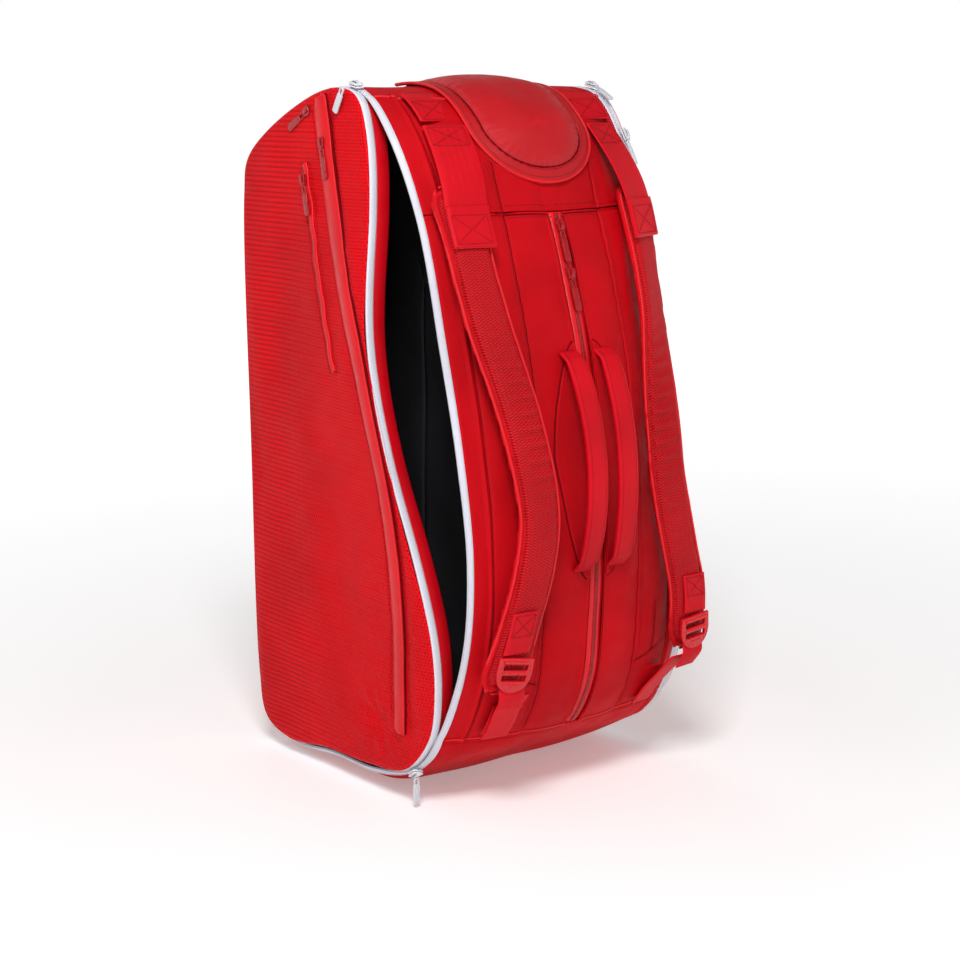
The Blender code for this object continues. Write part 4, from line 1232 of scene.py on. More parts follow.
def make_cover(side, s):
    ks = OUTLINE_KEYS[::3]
    edge = read(EDGE, ks)
    reach = np.linalg.norm(edge - COVER_MIDDLE, axis=1)
    near = np.array([0.0, 0.0006, 0.0018, 0.0040, 0.0085])
    share = np.concatenate([near / 0.17, np.linspace(0.08, 1.0, 46)])
    part, row = np.meshgrid(share, np.arange(len(ks) + 1) % len(ks))
    yz = edge[row] + (COVER_MIDDLE - edge)[row] * part[..., None]
    y, z = yz[..., 0], yz[..., 1]
    inset = reach[row] * part
    piece = Piece()
    x = cover_x(inset) + cover_relief(y, z, s)
    blend_in = ease((inset - 0.004) / 0.02)[..., None]
    rim = np.stack([s * x, y, z], -1)
    rim = opened(rim) if s < 0.0 else rim
    points = rim * (1.0 - blend_in) + cover_point(y, z, s) * blend_in
    piece.grid(points, np.stack([y, z, inset], -1))
    name = f"{side}_cover"
    cover = piece.build(name, ["side", "lining"], name, name, bend=cover_bend(side, s), weld=WELD)
    thicken(cover, COVER_THICK, inner=1)


def cover_edge(s, ks, inset, x):
    """Points along a cover's lip, in from its outline by a distance."""
    edge = read(EDGE, ks)
    inward = unit(COVER_MIDDLE - edge)
    yz = edge + inward * inset
    point = np.stack([np.full(len(ks), s * x), yz[:, 0], yz[:, 1]], -1)
    if s > 0.0:
        return point
    lip = np.stack([np.full(len(ks), s * x), edge[:, 0], edge[:, 1]], -1)
    return point + opened(lip) - lip


def edge_out(ks):
    """Outward direction of the outline in its own plane."""
    ahead = read(EDGE, ks + 0.01) - read(EDGE, ks - 0.01)
    out = unit(np.stack([np.zeros(len(ks)), ahead[:, 1], -ahead[:, 0]], -1))
    flip = np.sum(out[:, 1:] * (read(EDGE, ks) - COVER_MIDDLE), axis=1, keepdims=True) < 0.0
    return np.where(flip, -out, out)


WHITE_TEETH = (0.0016, 0.0012, 0.0012), 0.0024      # size and pitch


def make_white_zip(side, s):
    ks = np.linspace(key("front_low") - KEYS + 0.05, key("front_top") - 0.05, 520)
    section = flat_section(0.0018, base=-0.0016, crown=0.0008, columns=6)
    x0, x1 = BACK_TAPE
    line = proud(np.full_like(ks, s * (x0 + x1) / 2.0), ks, 0.0004)
    line[:, 2] = np.maximum(line[:, 2], 0.0021)
    inner_edge = proud(np.full_like(ks, s * x0), ks, 0.0004)
    outer_edge = proud(np.full_like(ks, s * x1), ks, 0.0004)
    half = (outer_edge - inner_edge) / 2.0
    outs = normal(np.full_like(ks, s * (x0 + x1) / 2.0), ks)
    piece = Piece()
    swept(piece, Ribbon(line, half, outs), section)
    coil(piece, line + half * 1.02, outs, *WHITE_TEETH, kind=1)
    piece.build(f"{side}_zip_back", ["white", "white_plastic"], "carcass", f"{side}_zip_back")
    stitch("carcass", line - half * 0.55 + outs * 0.0012, outs, look="white_thread")
    x0, x1 = COVER_TAPE
    line = cover_edge(s, ks, 0.0, (x0 + x1) / 2.0)
    half = np.tile(np.array((s * (x1 - x0) / 2.0, 0.0, 0.0)), (len(ks), 1))
    outs = edge_out(ks)
    piece = Piece()
    swept(piece, Ribbon(line, half, outs), section)
    coil(piece, line - half * 1.02, outs, *WHITE_TEETH, kind=1)
    piece.build(f"{side}_zip_cover", ["white", "white_plastic"], f"{side}_cover", f"{side}_zip_cover",
                bend=cover_bend(side, s))
    ks = np.linspace(key("heel_low"), key("top_back") + 0.2, 260)
    near = cover_edge(s, ks, 0.0018, 0.1645)
    far = cover_edge(s, ks, 0.0060, 0.1460)
    across, row = np.meshgrid(np.linspace(0.0, 1.0, 9), np.arange(len(ks)))
    swell = edge_out(ks)[row] * (0.0016 * np.sin(math.pi * across))[..., None]
    points = near[row] + (far - near)[row] * across[..., None] + swell
    piece = Piece()
    piece.grid(points, flat(across * 0.018, row * 0.0035))
    thicken(piece.build(f"{side}_inner_band", "inner", f"{side}_cover"), 0.0012)


def sideways(line):
    """Unit directions across a line on a side cover."""
    ahead = np.gradient(line, axis=0)
    return unit(np.stack([-ahead[:, 1], ahead[:, 0]], -1))


def cover_stitch(side, s, y, z, height=STITCH_LIFT, **options):
    """A row of stitches on a side cover."""
    stitch(f"{side}_cover", cover_point(y, z, s, height), cover_out(y, z, s), **options)


def sewn_strip(line, s, half, height):
    """A ribbon laid on a side cover along a line."""
    y, z = line[:, 0], line[:, 1]
    centres = cover_point(y, z, s, height)
    across = sideways(line) * half
    sides = (cover_point(y + across[:, 0], z + across[:, 1], s, height)
             - cover_point(y - across[:, 0], z - across[:, 1], s, height)) / 2.0
    return Ribbon(centres, sides, (s, 0.0, 0.0))


def make_side_zips(side, s):
    """The raised satin strip over the side pocket's zip, and the small welted zip beside it."""
    name = f"{side}_pocket_strip"
    long_line = smooth([(0.050, 0.756), *STRIP_LINE], 260)
    strip = sewn_strip(long_line, s, STRIP_HALF, 0.0010)
    taper = np.interp(np.linspace(0.0, 1.0, 260), *STRIP_TAPER)
    piece = Piece()
    swept(piece, strip, flat_section(0.0012, base=-0.0004, crown=0.0030, columns=10), wide=taper)
    tube(piece, strip.at(-0.98 * taper, strip.run, 0.0010)[0], 0.0011, kind=1)
    tube(piece, strip.at(0.98 * taper, strip.run, 0.0006)[0], 0.0009, kind=1)
    # Dark lines at both edges of the strip: painted shade in its edge grooves.
    for edge in (-1.10, 1.10):
        seam(f"{side}_cover", strip.at(edge * taper, strip.run, -0.0006)[0], 0.0010)
    piece.build(name, ["satin", "piping"], f"{side}_cover", name)
    for across in (-1.95, 1.90):
        line = long_line[6:-6]
        cover_stitch(side, s, *(line + sideways(line) * STRIP_HALF * across).T)
    name = f"{side}_small_zip"
    piece = Piece()
    welt = sewn_strip(POCKET, s, 0.0040, 0.0002)
    swept(piece, welt, flat_section(0.0010, base=-0.0002, crown=0.0016, columns=6))
    offset = sideways(POCKET)
    front = POCKET + offset * 0.0062 * np.sign(offset[:, :1])
    coil_line = sewn_strip(front, s, 0.0016, 0.0002)
    coil(piece, coil_line.centres, coil_line.outs, (0.0026, 0.0012, 0.0012), 0.0020, kind=1)
    piece.build(name, ["satin", "coil"], f"{side}_cover", name)
    for distance in (-0.0095, 0.0125):
        cover_stitch(side, s, *(POCKET + offset * distance * np.sign(offset[:, :1])).T)
    for end in (0, -1):
        t = np.linspace(-0.010, 0.012, 8)
        y, z = POCKET[end, 0] + t, np.full(8, POCKET[end, 1])
        cover_stitch(side, s, y, z, 0.0004, pitch=0.0022)


# Zip sliders and pulls
WHITE_SIZE = (0.0125, 0.015, 0.006)
WHITE_TAB = (0.009, 0.030, 0.0028)
RED_SIZE = (0.0105, 0.0125, 0.0048)
RED_TAB = (0.0092, 0.034, 0.0024)
WHITE_LIFT = 0.0035
SLIDER_LIFT = 0.0048
RING_SHARE = 0.30            # how much of a pull is its ring
TOP_SLIDER_Z = 0.7645
LEFT_TAB_OFFSET = Vector((-0.0178, 0.0, -0.002))
BOTTOM_TAB_OFFSET = Vector((0.0, -0.001, -0.0025))
SHORT_TAB = (0.009, 0.028, 0.0028)


def make_slider(name, matrix, body_name, look, size):
    """Slider with its two wings and the bridge that holds the pull."""
    width, length, high = size
    shield = [(-0.36 * width, -0.5 * length), (0.36 * width, -0.5 * length), (0.5 * width, 0.05 * length),
              (0.5 * width, 0.34 * length), (0.16 * width, 0.5 * length), (0.0, 0.40 * length),
              (-0.16 * width, 0.5 * length), (-0.5 * width, 0.34 * length), (-0.5 * width, 0.05 * length)]
    piece = Piece()
    plate(piece, shield, high * 0.30, matrix, bevel=high * 0.08, lift=high * 0.16)
    plate(piece, shield, high * 0.30, matrix, bevel=high * 0.08, lift=high * 0.62)
    bridge = rounded(-0.12 * width, 0.12 * width, 0.10 * length, 0.40 * length, 0.001)
    plate(piece, bridge, high * 0.5, matrix, bevel=high * 0.05, lift=high * 0.36)
    turn = np.linspace(0.0, math.pi, 12)
    arch = np.stack([np.zeros(12), 0.40 * length * np.cos(turn), high * (0.70 + 0.34 * np.sin(turn))], -1)
    turned = np.array(matrix)
    side = np.tile(turned[:3, 0] * width * 0.17, (12, 1))
    section = flat_section(high * 0.16, base=-high * 0.08, columns=2)
    swept(piece, Ribbon(placed(arch, matrix), side, turned[:3, 2]), section)
    piece.build(f"{name}_slider", look, body_name, f"{name}_slider", sharp=40)


def make_tab(name, matrix, look, size):
    """Moulded pull: a ring at the pivot and a grip with a raised panel, hanging along the matrix's -Y."""
    width, length, thick = size
    top, bottom = thick / 2.0, thick / 2.0 - length
    neck = top - RING_SHARE * length
    piece = Piece()
    hole = rounded(-0.20 * width, 0.20 * width, neck + 0.0012, top - thick * 0.62, 0.001)
    plate(piece, rounded(-0.36 * width, 0.36 * width, neck - 0.001, top, 0.0022), thick * 0.8, matrix,
          bevel=thick * 0.22, holes=[hole])
    grip = [(x * (1.0 + 0.10 * (neck - y) / length), y)
            for x, y in rounded(-0.44 * width, 0.44 * width, bottom, neck + 0.0012, 0.0022)]
    plate(piece, grip, thick, matrix, bevel=thick * 0.25)
    panel_outline = rounded(-0.29 * width, 0.29 * width, bottom + 0.0026, neck - 0.0022, 0.0016)
    plate(piece, panel_outline, thick * 1.18, matrix, bevel=thick * 0.10)
    piece.build(f"{name}_tab", look, f"{name}_tab", f"{name}_tab", sharp=40)


def below(matrix, slider_length, tab_thick):
    """The pivot just off a slider's lower end."""
    drop = (0.0, -(slider_length + tab_thick) / 2.0 - 0.0004, tab_thick / 2.0 + 0.0008)
    return matrix @ Matrix.Translation(drop)


def red_slider(name, matrix):
    make_slider(name, matrix, f"{name}_slider", "pull", RED_SIZE)
    make_tab(name, below(matrix, RED_SIZE[1], RED_TAB[2]), "pull", RED_TAB)


def make_centre_sliders():
    for name, z in (("centre_upper", 0.622), ("centre_lower", 0.572)):
        k = key_at(np.array(0.0), np.array(z))
        tangent = body(0.0, k + 0.01) - body(0.0, k - 0.01)
        red_slider(name, frame_at(proud(0.0, k, 0.0012), tangent, normal(np.array(0.0), k)))


def white_slider(name, s, z, body_name):
    """A slider across both halves of a white zip; returns its matrix."""
    x = np.array(s * (BACK_TAPE[1] + COVER_TAPE[0]) / 2.0)
    k = key_at(x, np.array(z))
    tangent = body(x, k + 0.01) - body(x, k - 0.01)
    matrix = frame_at(proud(x, k, WHITE_LIFT), tangent, normal(x, k))
    make_slider(name, matrix, body_name, "white_plastic", WHITE_SIZE)
    return matrix


def make_white_sliders():
    matrix = white_slider("left_top", -1.0, TOP_SLIDER_Z, "left_cover")
    at = matrix.translation + LEFT_TAB_OFFSET
    make_tab("left_top", frame_at(at, (0.0, -0.5, 0.87), (-1.0, 0.0, 0.0)), "white_plastic", WHITE_TAB)
    matrix = white_slider("left_bottom", -1.0, 0.043, "carcass")
    at = matrix @ Vector((0.0, 0.0, WHITE_SIZE[2])) + BOTTOM_TAB_OFFSET
    make_tab("left_bottom", frame_at(at, (0.0, 0.0, 1.0), (0.0, -1.0, 0.0)), "white_plastic", SHORT_TAB)
    matrix = white_slider("right_low", 1.0, 0.712, "carcass")
    make_tab("right_low", below(matrix, WHITE_SIZE[1], WHITE_TAB[2]), "white_plastic", WHITE_TAB)
    matrix = white_slider("right_top", 1.0, TOP_SLIDER_Z, "carcass")
    at = below(matrix, WHITE_SIZE[1], WHITE_TAB[2]).translation
    make_tab("right_top", frame_at(at, (0.0, 0.87, 0.49), (0.0, -0.49, 0.87)), "white_plastic", WHITE_TAB)


CAD_INSETS = (0.0, 0.0035, 0.030, 0.080, 0.150)
CAD_XS = (0.1733, 0.1752, 0.1770, 0.1783, 0.1790)


def cad_cover(y, z, s, height):
    """Where the CAD puts a point over a side cover, for the sliders that move on it."""
    x = np.interp(inset_at(y, z), CAD_INSETS, CAD_XS) + height
    point = np.array((s * float(x), y, z))
    return opened(point) if s < 0.0 else point


def make_cover_sliders():
    for side, s in SIDES:
        for name, line, share in (("strip", STRIP_LINE, 0.045), ("pocket", POCKET_LINE, 0.08)):
            whole = smooth([np.array(p) for p in line], 2001)
            here, ahead = whole[int(share * 2000)], whole[int((share + 0.02) * 2000)]
            point, low = cad_cover(*here, s, SLIDER_LIFT), cad_cover(*ahead, s, SLIDER_LIFT)
            red_slider(f"{side}_{name}", frame_at(point, point - low, (s, 0.0, 0.0)))
    corner = cad_cover(0.070, 0.742, -1.0, 0.0010)
    red_slider("left_corner", frame_at(corner, (0.0, -1.0, 0.55), (-1.0, 0.0, 0.0)))


# Straps, handles and their hardware; routes are (x, z, height over the face) from top to bottom
PAD_LINE = [
    (-0.127, 0.665, 0.0120), (-0.127, 0.600, 0.0160), (-0.123, 0.530, 0.020), (-0.106, 0.430, 0.023),
    (-0.094, 0.340, 0.023), (-0.101, 0.275, 0.021), (-0.116, 0.215, 0.019), (-0.129, 0.145, 0.017),
]
WEB_ROUTE = [
    (0.109, 0.728, 0.0080), (0.114, 0.700, 0.0140), (0.120, 0.670, 0.0225), (0.125, 0.640, 0.0250),
    (0.126, 0.606, 0.0270),
]
LOOP_ROUTE = [(0.117, 0.235, 0.0315), (0.121, 0.212, 0.0305), (0.124, 0.1905, 0.0295)]
TAIL_ROUTE = [(0.113, 0.1405, 0.0250), (0.112, 0.122, 0.0165), (0.108, 0.102, 0.0105), (0.106, 0.082, 0.0080)]
HANG_ROUTE = [(0.1245, 0.152, 0.0300), (0.1240, 0.142, 0.0335), (0.1225, 0.128, 0.0325)]
WEB_HALF = 0.0245
LOOP_HALF = 0.016
TAIL_HALF = 0.0155
HANG_HALF = 0.0150
WEB_THICK = 0.0018
PAD_HALF = 0.031
PAD_THICK = 0.011
PAD_BORDER = 0.70
STRAP_LEAN = 0.75
STRAP_SPLAY = 0.018
SPLAY_TOP_Z = 0.45
SPLAY_LOW_Z = 0.10
SPLAY_RUN = 0.25
SPLAY_END = 0.05
LEAN_HIGH = (0.40, 0.12)     # the right strap's lean: where it starts, and over what height
LEAN_LOW = (0.15, 0.04)
BINDING_RADIUS = 0.0017
BINDING_LAP = 0.0018         # how far the binding reaches over the pad's edge


def splay(z, s):
    """How far the right strap hangs outwards of its mirror image."""
    if s < 0.0:
        return 0.0
    return STRAP_SPLAY * float(ease((SPLAY_TOP_Z - z) / SPLAY_RUN) * ease((z - SPLAY_LOW_Z) / SPLAY_END))


def lean(z, s):
    """The left strap leans with the face; the right one only where it lies on it, at its two ends."""
    if s < 0.0:
        return STRAP_LEAN
    upper, lower = ease((z - LEAN_HIGH[0]) / LEAN_HIGH[1]), ease((LEAN_LOW[0] - z) / LEAN_LOW[1])
    return STRAP_LEAN * float(max(upper, lower))


def over_face(x, z, height, s):
    """Strap points hold one height over the face on both sides of the bag."""
    point = body(x * s, key_at(np.array(x * s), np.array(z))).ravel()
    return point + (splay(z, s), -height, 0.0)


def strap_half(x, z, half, s):
    """Half width of a strap, leaning with the crowned face under it."""
    ends = np.array((x * s - half, x * s + half))
    y = body(ends, key_at(ends, np.array((z, z))))[:, 1]
    return np.array((half, lean(z, s) * (y[1] - y[0]) / 2.0, 0.0))


def strap_ribbon(route, half, s, count):
    centres = smooth([over_face(x, z, h, s) for x, z, h in route], count)
    return Ribbon(centres, smooth([strap_half(x, z, half, s) for x, z, _ in route], count))


def x_box(ribbon, body_name, start, end, reach=0.82, height=0.0006):
    """A stitched rectangle with its two diagonals."""
    a, b = np.array((-reach, start)), np.array((reach, start))
    c, d = np.array((reach, end)), np.array((-reach, end))
    for first, last in ((a, b), (b, c), (c, d), (d, a), (a, c), (b, d)):
        t = np.linspace(0.0, 1.0, 14)[:, None]
        path = first + (last - first) * t
        line, outs = ribbon.at(path[:, 0], path[:, 1], height)
        stitch(body_name, line, outs, 0.0030, (0.0005, 0.0024, 0.00055))


PLUMP_PRESSURE = 4.0
PLUMP_CAP = 0.0035
PLUMP_VOXEL = 0.004
PLUMP_FRAMES = 20


def plump(points, faces):
    """Blows a closed form up as cloth, for at most the cap, and returns its new points and faces."""
    mesh = bpy.data.meshes.new("plump")
    mesh.from_pydata(np.asarray(points).reshape(-1, 3).tolist(), [], faces)
    item = bpy.data.objects.new("plump", mesh)
    bpy.context.scene.collection.objects.link(item)
    remesh = item.modifiers.new("remesh", "REMESH")
    remesh.mode = "VOXEL"
    remesh.voxel_size = PLUMP_VOXEL
    depsgraph = bpy.context.evaluated_depsgraph_get()
    item.data = bpy.data.meshes.new_from_object(item.evaluated_get(depsgraph))
    item.modifiers.clear()
    rest = np.array([v.co for v in item.data.vertices])
    moved = rest
    cloth = item.modifiers.new("cloth", "CLOTH")
    cloth.settings.use_pressure = True
    cloth.settings.uniform_pressure_force = PLUMP_PRESSURE
    cloth.settings.effector_weights.gravity = 0.0
    cloth.settings.tension_stiffness = 30.0
    cloth.settings.compression_stiffness = 8.0
    cloth.settings.bending_stiffness = 0.3
    scene = bpy.context.scene
    for number in range(1, PLUMP_FRAMES + 1):
        scene.frame_set(number)
    result = item.evaluated_get(bpy.context.evaluated_depsgraph_get()).to_mesh()
    moved = np.array([v.co for v in result.vertices])
    scene.frame_set(1)
    step = moved - rest
    size = np.linalg.norm(step, axis=1, keepdims=True)
    rest = rest + step * np.minimum(1.0, PLUMP_CAP / np.maximum(size, 1e-9))
    item.modifiers.clear()
    item.data.vertices.foreach_set("co", rest.ravel())
    divide = item.modifiers.new("divide", "SUBSURF")
    divide.levels = 1
    final = bpy.data.meshes.new_from_object(item.evaluated_get(bpy.context.evaluated_depsgraph_get()))
    made = np.array([v.co for v in final.vertices]), [list(f.vertices) for f in final.polygons]
    bpy.data.objects.remove(item)
    return made


def point_normals(points, faces):
    quads = np.array(faces)
    across = quad_normals(points[quads])
    total = np.zeros_like(points)
    for i in range(4):
        np.add.at(total, quads[:, i], across)
    return unit(total)


def edge_offsets(ribbon, points, sign):
    """How far a stuffed form really reaches beside each station of its ribbon."""
    units = ribbon.sides / np.linalg.norm(ribbon.sides, axis=1, keepdims=True)
    offsets = np.full(len(ribbon.centres), np.nan)
    for i, (centre, unit_side) in enumerate(zip(ribbon.centres, units)):
        near = points[np.abs(points[:, 2] - centre[2]) < 0.003]
        if len(near):
            offsets[i] = ((near - centre) @ unit_side * sign).max()
    known = np.flatnonzero(~np.isnan(offsets))
    offsets = np.interp(np.arange(len(offsets)), known, offsets[known])
    padded = np.pad(offsets, 4, mode="edge")
    return units * (sign * (np.convolve(padded, np.ones(9) / 9.0, "valid") - BINDING_LAP))[:, None]


def make_pad(side, s):
    """Shoulder pad: a stuffed mesh middle in a plain border, with bound edges."""
    centres = smooth([over_face(-x, z, h, s) for x, z, h in PAD_LINE], 150)
    halves = smooth([strap_half(-x, z, PAD_HALF - 0.001, s) for x, z, _ in PAD_LINE], 150)
    ribbon = Ribbon(centres, halves)
    from_top, from_low = ribbon.run, ribbon.length - ribbon.run

    def rounding(distance, radius):
        t = np.clip(distance / radius, 0.0, 1.0)
        return np.sqrt(np.maximum(1.0 - (1.0 - t) ** 2, 0.0))

    top_width = np.maximum(rounding(from_top, 0.020) * 0.55 + 0.45, 0.5)
    wide = top_width * (0.30 + 0.70 * rounding(from_low, 0.030))
    base = Piece()
    swept(base, ribbon, oval_section(PAD_THICK - 0.0030, power=0.5, sides=24), wide=wide)
    points, faces = plump(np.concatenate(base.points), base.faces)
    faces = quick_faced_out(points, faces)
    heights = ribbon.centres[::-1, 2]
    along = np.interp(points[:, 2], heights, ribbon.run[::-1])
    middle = np.interp(points[:, 2], heights, ribbon.centres[::-1, 0])
    width = np.interp(points[:, 2], heights, (wide * PAD_HALF)[::-1])
    across = (points[:, 0] - middle) / width
    outs = point_normals(points, faces)
    front = ease((-outs[:, 1] - 0.2) / 0.4)
    low_edge, top_edge = (np.interp(points[:, 2], heights, rows[::-1]) for rows in (from_low, from_top))
    edge = np.minimum(np.minimum((1.0 - np.abs(across)) * width, low_edge), top_edge)
    border = PAD_HALF * (1.0 - PAD_BORDER)
    lift = ridge(edge - border, 0.0020, -0.0030) * front
    ripple = np.sin(along * 2.0 * math.pi / 0.017 + across * 0.9) * ridge(along - 0.26, 0.095, 0.0020)
    lift = lift + ripple * ease((edge - border) / 0.006) * ease((across * s * -1.0 + 0.5) / 0.6) * front
    lift = lift + 0.0010 * ease((edge - border) / 0.010) * front
    points = points + outs * lift[:, None]
    piece = Piece()
    quads = np.array(faces)
    inner = (edge[quads].mean(axis=1) > border) & (front[quads].mean(axis=1) > 0.4)
    weave = np.stack([points[:, 0] - middle, along, edge], -1)
    piece.points, piece.weave, piece.faces = [points], [weave], faces
    piece.kinds, piece.count = (1 - inner.astype(int)).tolist(), len(points)
    name = f"{side}_strap_pad"
    pad = piece.build(name, ["strap", "border"], f"{side}_strap", name)
    binding = Piece()
    rim_out = 0.0014
    for sign in (-1.0, 1.0):
        line = ribbon.centres + edge_offsets(ribbon, points, sign) + ribbon.outs * rim_out
        tube(binding, line[1:-1], BINDING_RADIUS)
    for end in (-1, 0):
        ends = ribbon.centres[end] + np.outer(np.linspace(-1.0, 1.0, 12), ribbon.sides[end] * wide[end])
        tube(binding, ends + ribbon.outs[end] * rim_out, BINDING_RADIUS)
    binding.build(f"{side}_strap_binding", "piping", f"{side}_strap")


def make_straps():
    for side, s in SIDES:
        strap = f"{side}_strap"
        make_pad(side, s)
        web = strap_ribbon(WEB_ROUTE, WEB_HALF, s, 70)
        piece = Piece()
        swept(piece, web, flat_section(WEB_THICK, base=-WEB_THICK / 2.0, columns=8))
        fold = Ribbon(web.centres[-22:] + web.outs[-22:] * 0.0019, web.sides[-22:])
        swept(piece, fold, flat_section(0.0018, base=-0.0008, columns=8))
        hem = web.at(0.0, 0.0)[0] + np.outer(np.linspace(-1.0, 1.0, 10), web.sides[-1])
        tube(piece, hem + web.centres[-1] - web.centres[0] + web.outs[-1] * 0.0006, 0.0010, kind=1)
        piece.build(f"{side}_strap_webbing", ["webbing", "piping"], strap, f"{side}_strap_webbing")
        x_box(web, strap, web.length - 0.034, web.length - 0.003, height=0.0030)
        x_box(web, strap, 0.003, 0.028, height=0.0011)
        make_anchor(side, s)
        make_lower_end(side, s)


def make_anchor(side, s):
    """Webbing sewn over the top edge of the strap face."""
    k0, k1 = float(key_at(s * 0.108, np.array(0.731))), key("top_back") + 0.12
    ks = np.linspace(k0, k1, 40)
    x = np.full_like(ks, s * 0.1085)
    ribbon = Ribbon(skin(x, ks, 0.0016), np.tile((0.024, 0.0, 0.0), (40, 1)), normal(x, ks))
    piece = Piece()
    swept(piece, ribbon, flat_section(WEB_THICK, base=-WEB_THICK / 2.0, columns=8))
    piece.build(f"{side}_strap_anchor", "webbing", "carcass", f"{side}_strap_anchor")
    x_box(ribbon, "carcass", 0.002, min(ribbon.length - 0.002, 0.030), height=0.0011)


def lock_matrix(s):
    centre = over_face(0.125, 0.167, 0.0305, s)
    upward = over_face(0.123, 0.185, 0.0305, s) - centre
    half = strap_half(0.125, 0.167, 0.021, s)
    return frame_at(centre, upward, (half[1], -half[0], 0.0))


def make_lower_end(side, s):
    strap = f"{side}_strap"
    loop = strap_ribbon(LOOP_ROUTE, LOOP_HALF, s, 30)
    piece = Piece()
    swept(piece, loop, flat_section(WEB_THICK, base=-WEB_THICK / 2.0, columns=6))
    piece.build(f"{side}_lock_loop", "webbing", strap, f"{side}_lock_loop")
    x_box(loop, strap, 0.003, 0.026, 0.78, 0.0011)
    make_ladder_lock(side, s)
    tail = strap_ribbon(TAIL_ROUTE, TAIL_HALF, s, 50)
    piece = Piece()
    swept(piece, tail, flat_section(WEB_THICK, base=-WEB_THICK / 2.0, columns=6))
    hang = strap_ribbon(HANG_ROUTE, HANG_HALF, s, 24)
    swept(piece, hang, flat_section(WEB_THICK, base=-WEB_THICK / 2.0, columns=6))
    piece.build(f"{side}_adjuster_webbing", "webbing", strap, f"{side}_adjuster_webbing")
    make_wing(side, s)


def make_ladder_lock(side, s):
    """Ladder lock: a D-shaped frame with two slots and ribbed bars."""
    matrix = lock_matrix(s)
    outline = [(0.0200, 0.0195), (-0.0200, 0.0195), (-0.0208, 0.0020), (-0.0195, -0.0055)]
    turn = np.linspace(math.pi * 1.08, math.pi * 1.92, 16)
    outline += [(0.0192 * math.cos(t), -0.0030 + 0.0168 * math.sin(t)) for t in turn]
    outline += [(0.0195, -0.0055), (0.0208, 0.0020)]
    holes = [rounded(-0.0145, 0.0145, y - 0.0031, y + 0.0031, 0.0008) for y in (0.009, -0.003)]
    piece = Piece()
    plate(piece, outline, 0.0046, matrix, bevel=0.0011, holes=holes)
    plate(piece, rounded(-0.0105, 0.0105, -0.0172, -0.0100, 0.0030), 0.0056, matrix, bevel=0.0006)
    for y, radius in ((0.0030, 0.0022), (0.0152, 0.0026), (-0.0078, 0.0018)):
        bar = np.stack([np.linspace(-0.0155, 0.0155, 14), np.full(14, y), np.full(14, 0.0012)], -1)
        tube(piece, placed(bar, matrix), radius, sides=10)
    piece.build(f"{side}_ladder_lock", "red_plastic", f"{side}_ladder_lock", f"{side}_ladder_lock", sharp=35)


def make_wing(side, s):
    """The stitched wing that ties the adjuster webbing to the strap face."""
    v = np.linspace(0.0, 1.0, 26)
    z = 0.092 + 0.036 * v
    x = s * (0.100 + 0.007 * v)
    half = 0.027 - 0.0105 * v
    ks = key_at(x, z)
    ribbon = Ribbon(skin(x, ks, 0.0014), np.stack([half, np.zeros(26), np.zeros(26)], -1), normal(x, ks))
    piece = Piece()
    swept(piece, ribbon, flat_section(0.0020, base=-0.0006, crown=0.0006, columns=8))
    piece.build(f"{side}_anchor_wing", "cloth", "carcass", f"{side}_anchor_wing")
    for across in (-0.86, 0.86):
        line, outs = ribbon.at(np.full(20, across), np.linspace(0.002, ribbon.length - 0.002, 20), 0.0018)
        stitch("carcass", line, outs)
    line, outs = ribbon.at(np.linspace(-0.86, 0.86, 20), np.full(20, 0.003), 0.0018)
    stitch("carcass", line, outs)


HANDLE_TOP_Z = 0.492
HANDLE_LOW_Z = 0.262
HANDLE_X = 0.024
HANDLE_REACH = 0.0185
HANDLE_FOOT = 0.0095
HANDLE_END = 0.0035
HANDLE_PINCH = 0.004         # the grips lean towards each other


def make_handles():
    """Rolled webbing grips whose flat ends are tucked under the oval patch."""
    for side, s in SIDES:
        t = np.linspace(0.0, 1.0, 90)
        z = HANDLE_TOP_Z + (HANDLE_LOW_Z - HANDLE_TOP_Z) * t
        rise = np.sin(math.pi * t) ** 0.75
        x = s * (HANDLE_X - HANDLE_PINCH * rise)
        k = key_at(x, z)
        foot = HANDLE_END + (HANDLE_FOOT - HANDLE_END) * ease(np.sin(math.pi * t) * 6.0)
        centres = proud(x, k, foot + HANDLE_REACH * rise)
        sides = np.tile((0.0132, 0.0, 0.0), (90, 1))
        ribbon = Ribbon(centres, sides, normal(x, k))
        middle = ease(np.sin(math.pi * t) * 2.2)
        piece = Piece()
        swept(piece, ribbon, oval_section(0.0072, power=0.45, sides=20), wide=0.94 + 0.06 * middle,
              deep=0.45 + 0.55 * middle)
        name = f"{side}_carry_handle"
        handle = piece.build(name, "webbing", f"{side}_handle", name)
        for across in (-0.72, 0.72):
            along = np.linspace(0.006, ribbon.length - 0.006, 120)
            line, outs = ribbon.at(np.full(120, across), along, 0.0034)
            stitch(f"{side}_handle", line, outs)


def make_threads():
    for (body_name, look), piece in sorted(THREADS.items()):
        # The seam lines are painted shade in the seam grooves.
        ending = {"white_thread": "white_stitching", "seam": "seam_shade_lines"}.get(look, "stitching")
        piece.build(f"{body_name}_{ending}", look, body_name)


make_carcass()
make_end_seams()
make_corner_piping()
make_centre_zip()
make_handle_patches()
make_flap()
make_pocket()
make_dividers()
for side_name, sign in SIDES:
    make_cover(side_name, sign)
    make_white_zip(side_name, sign)
    make_side_zips(side_name, sign)
make_centre_sliders()
make_white_sliders()
make_cover_sliders()
make_straps()
make_handles()
make_threads()


# Floor, light and camera
FLOOR_REACH = 14.0
FLOOR_GLOW = (0.26, 0.80)    # near the bag, and far from it
OVERHEAD = 0.24              # brightness of the sky overhead


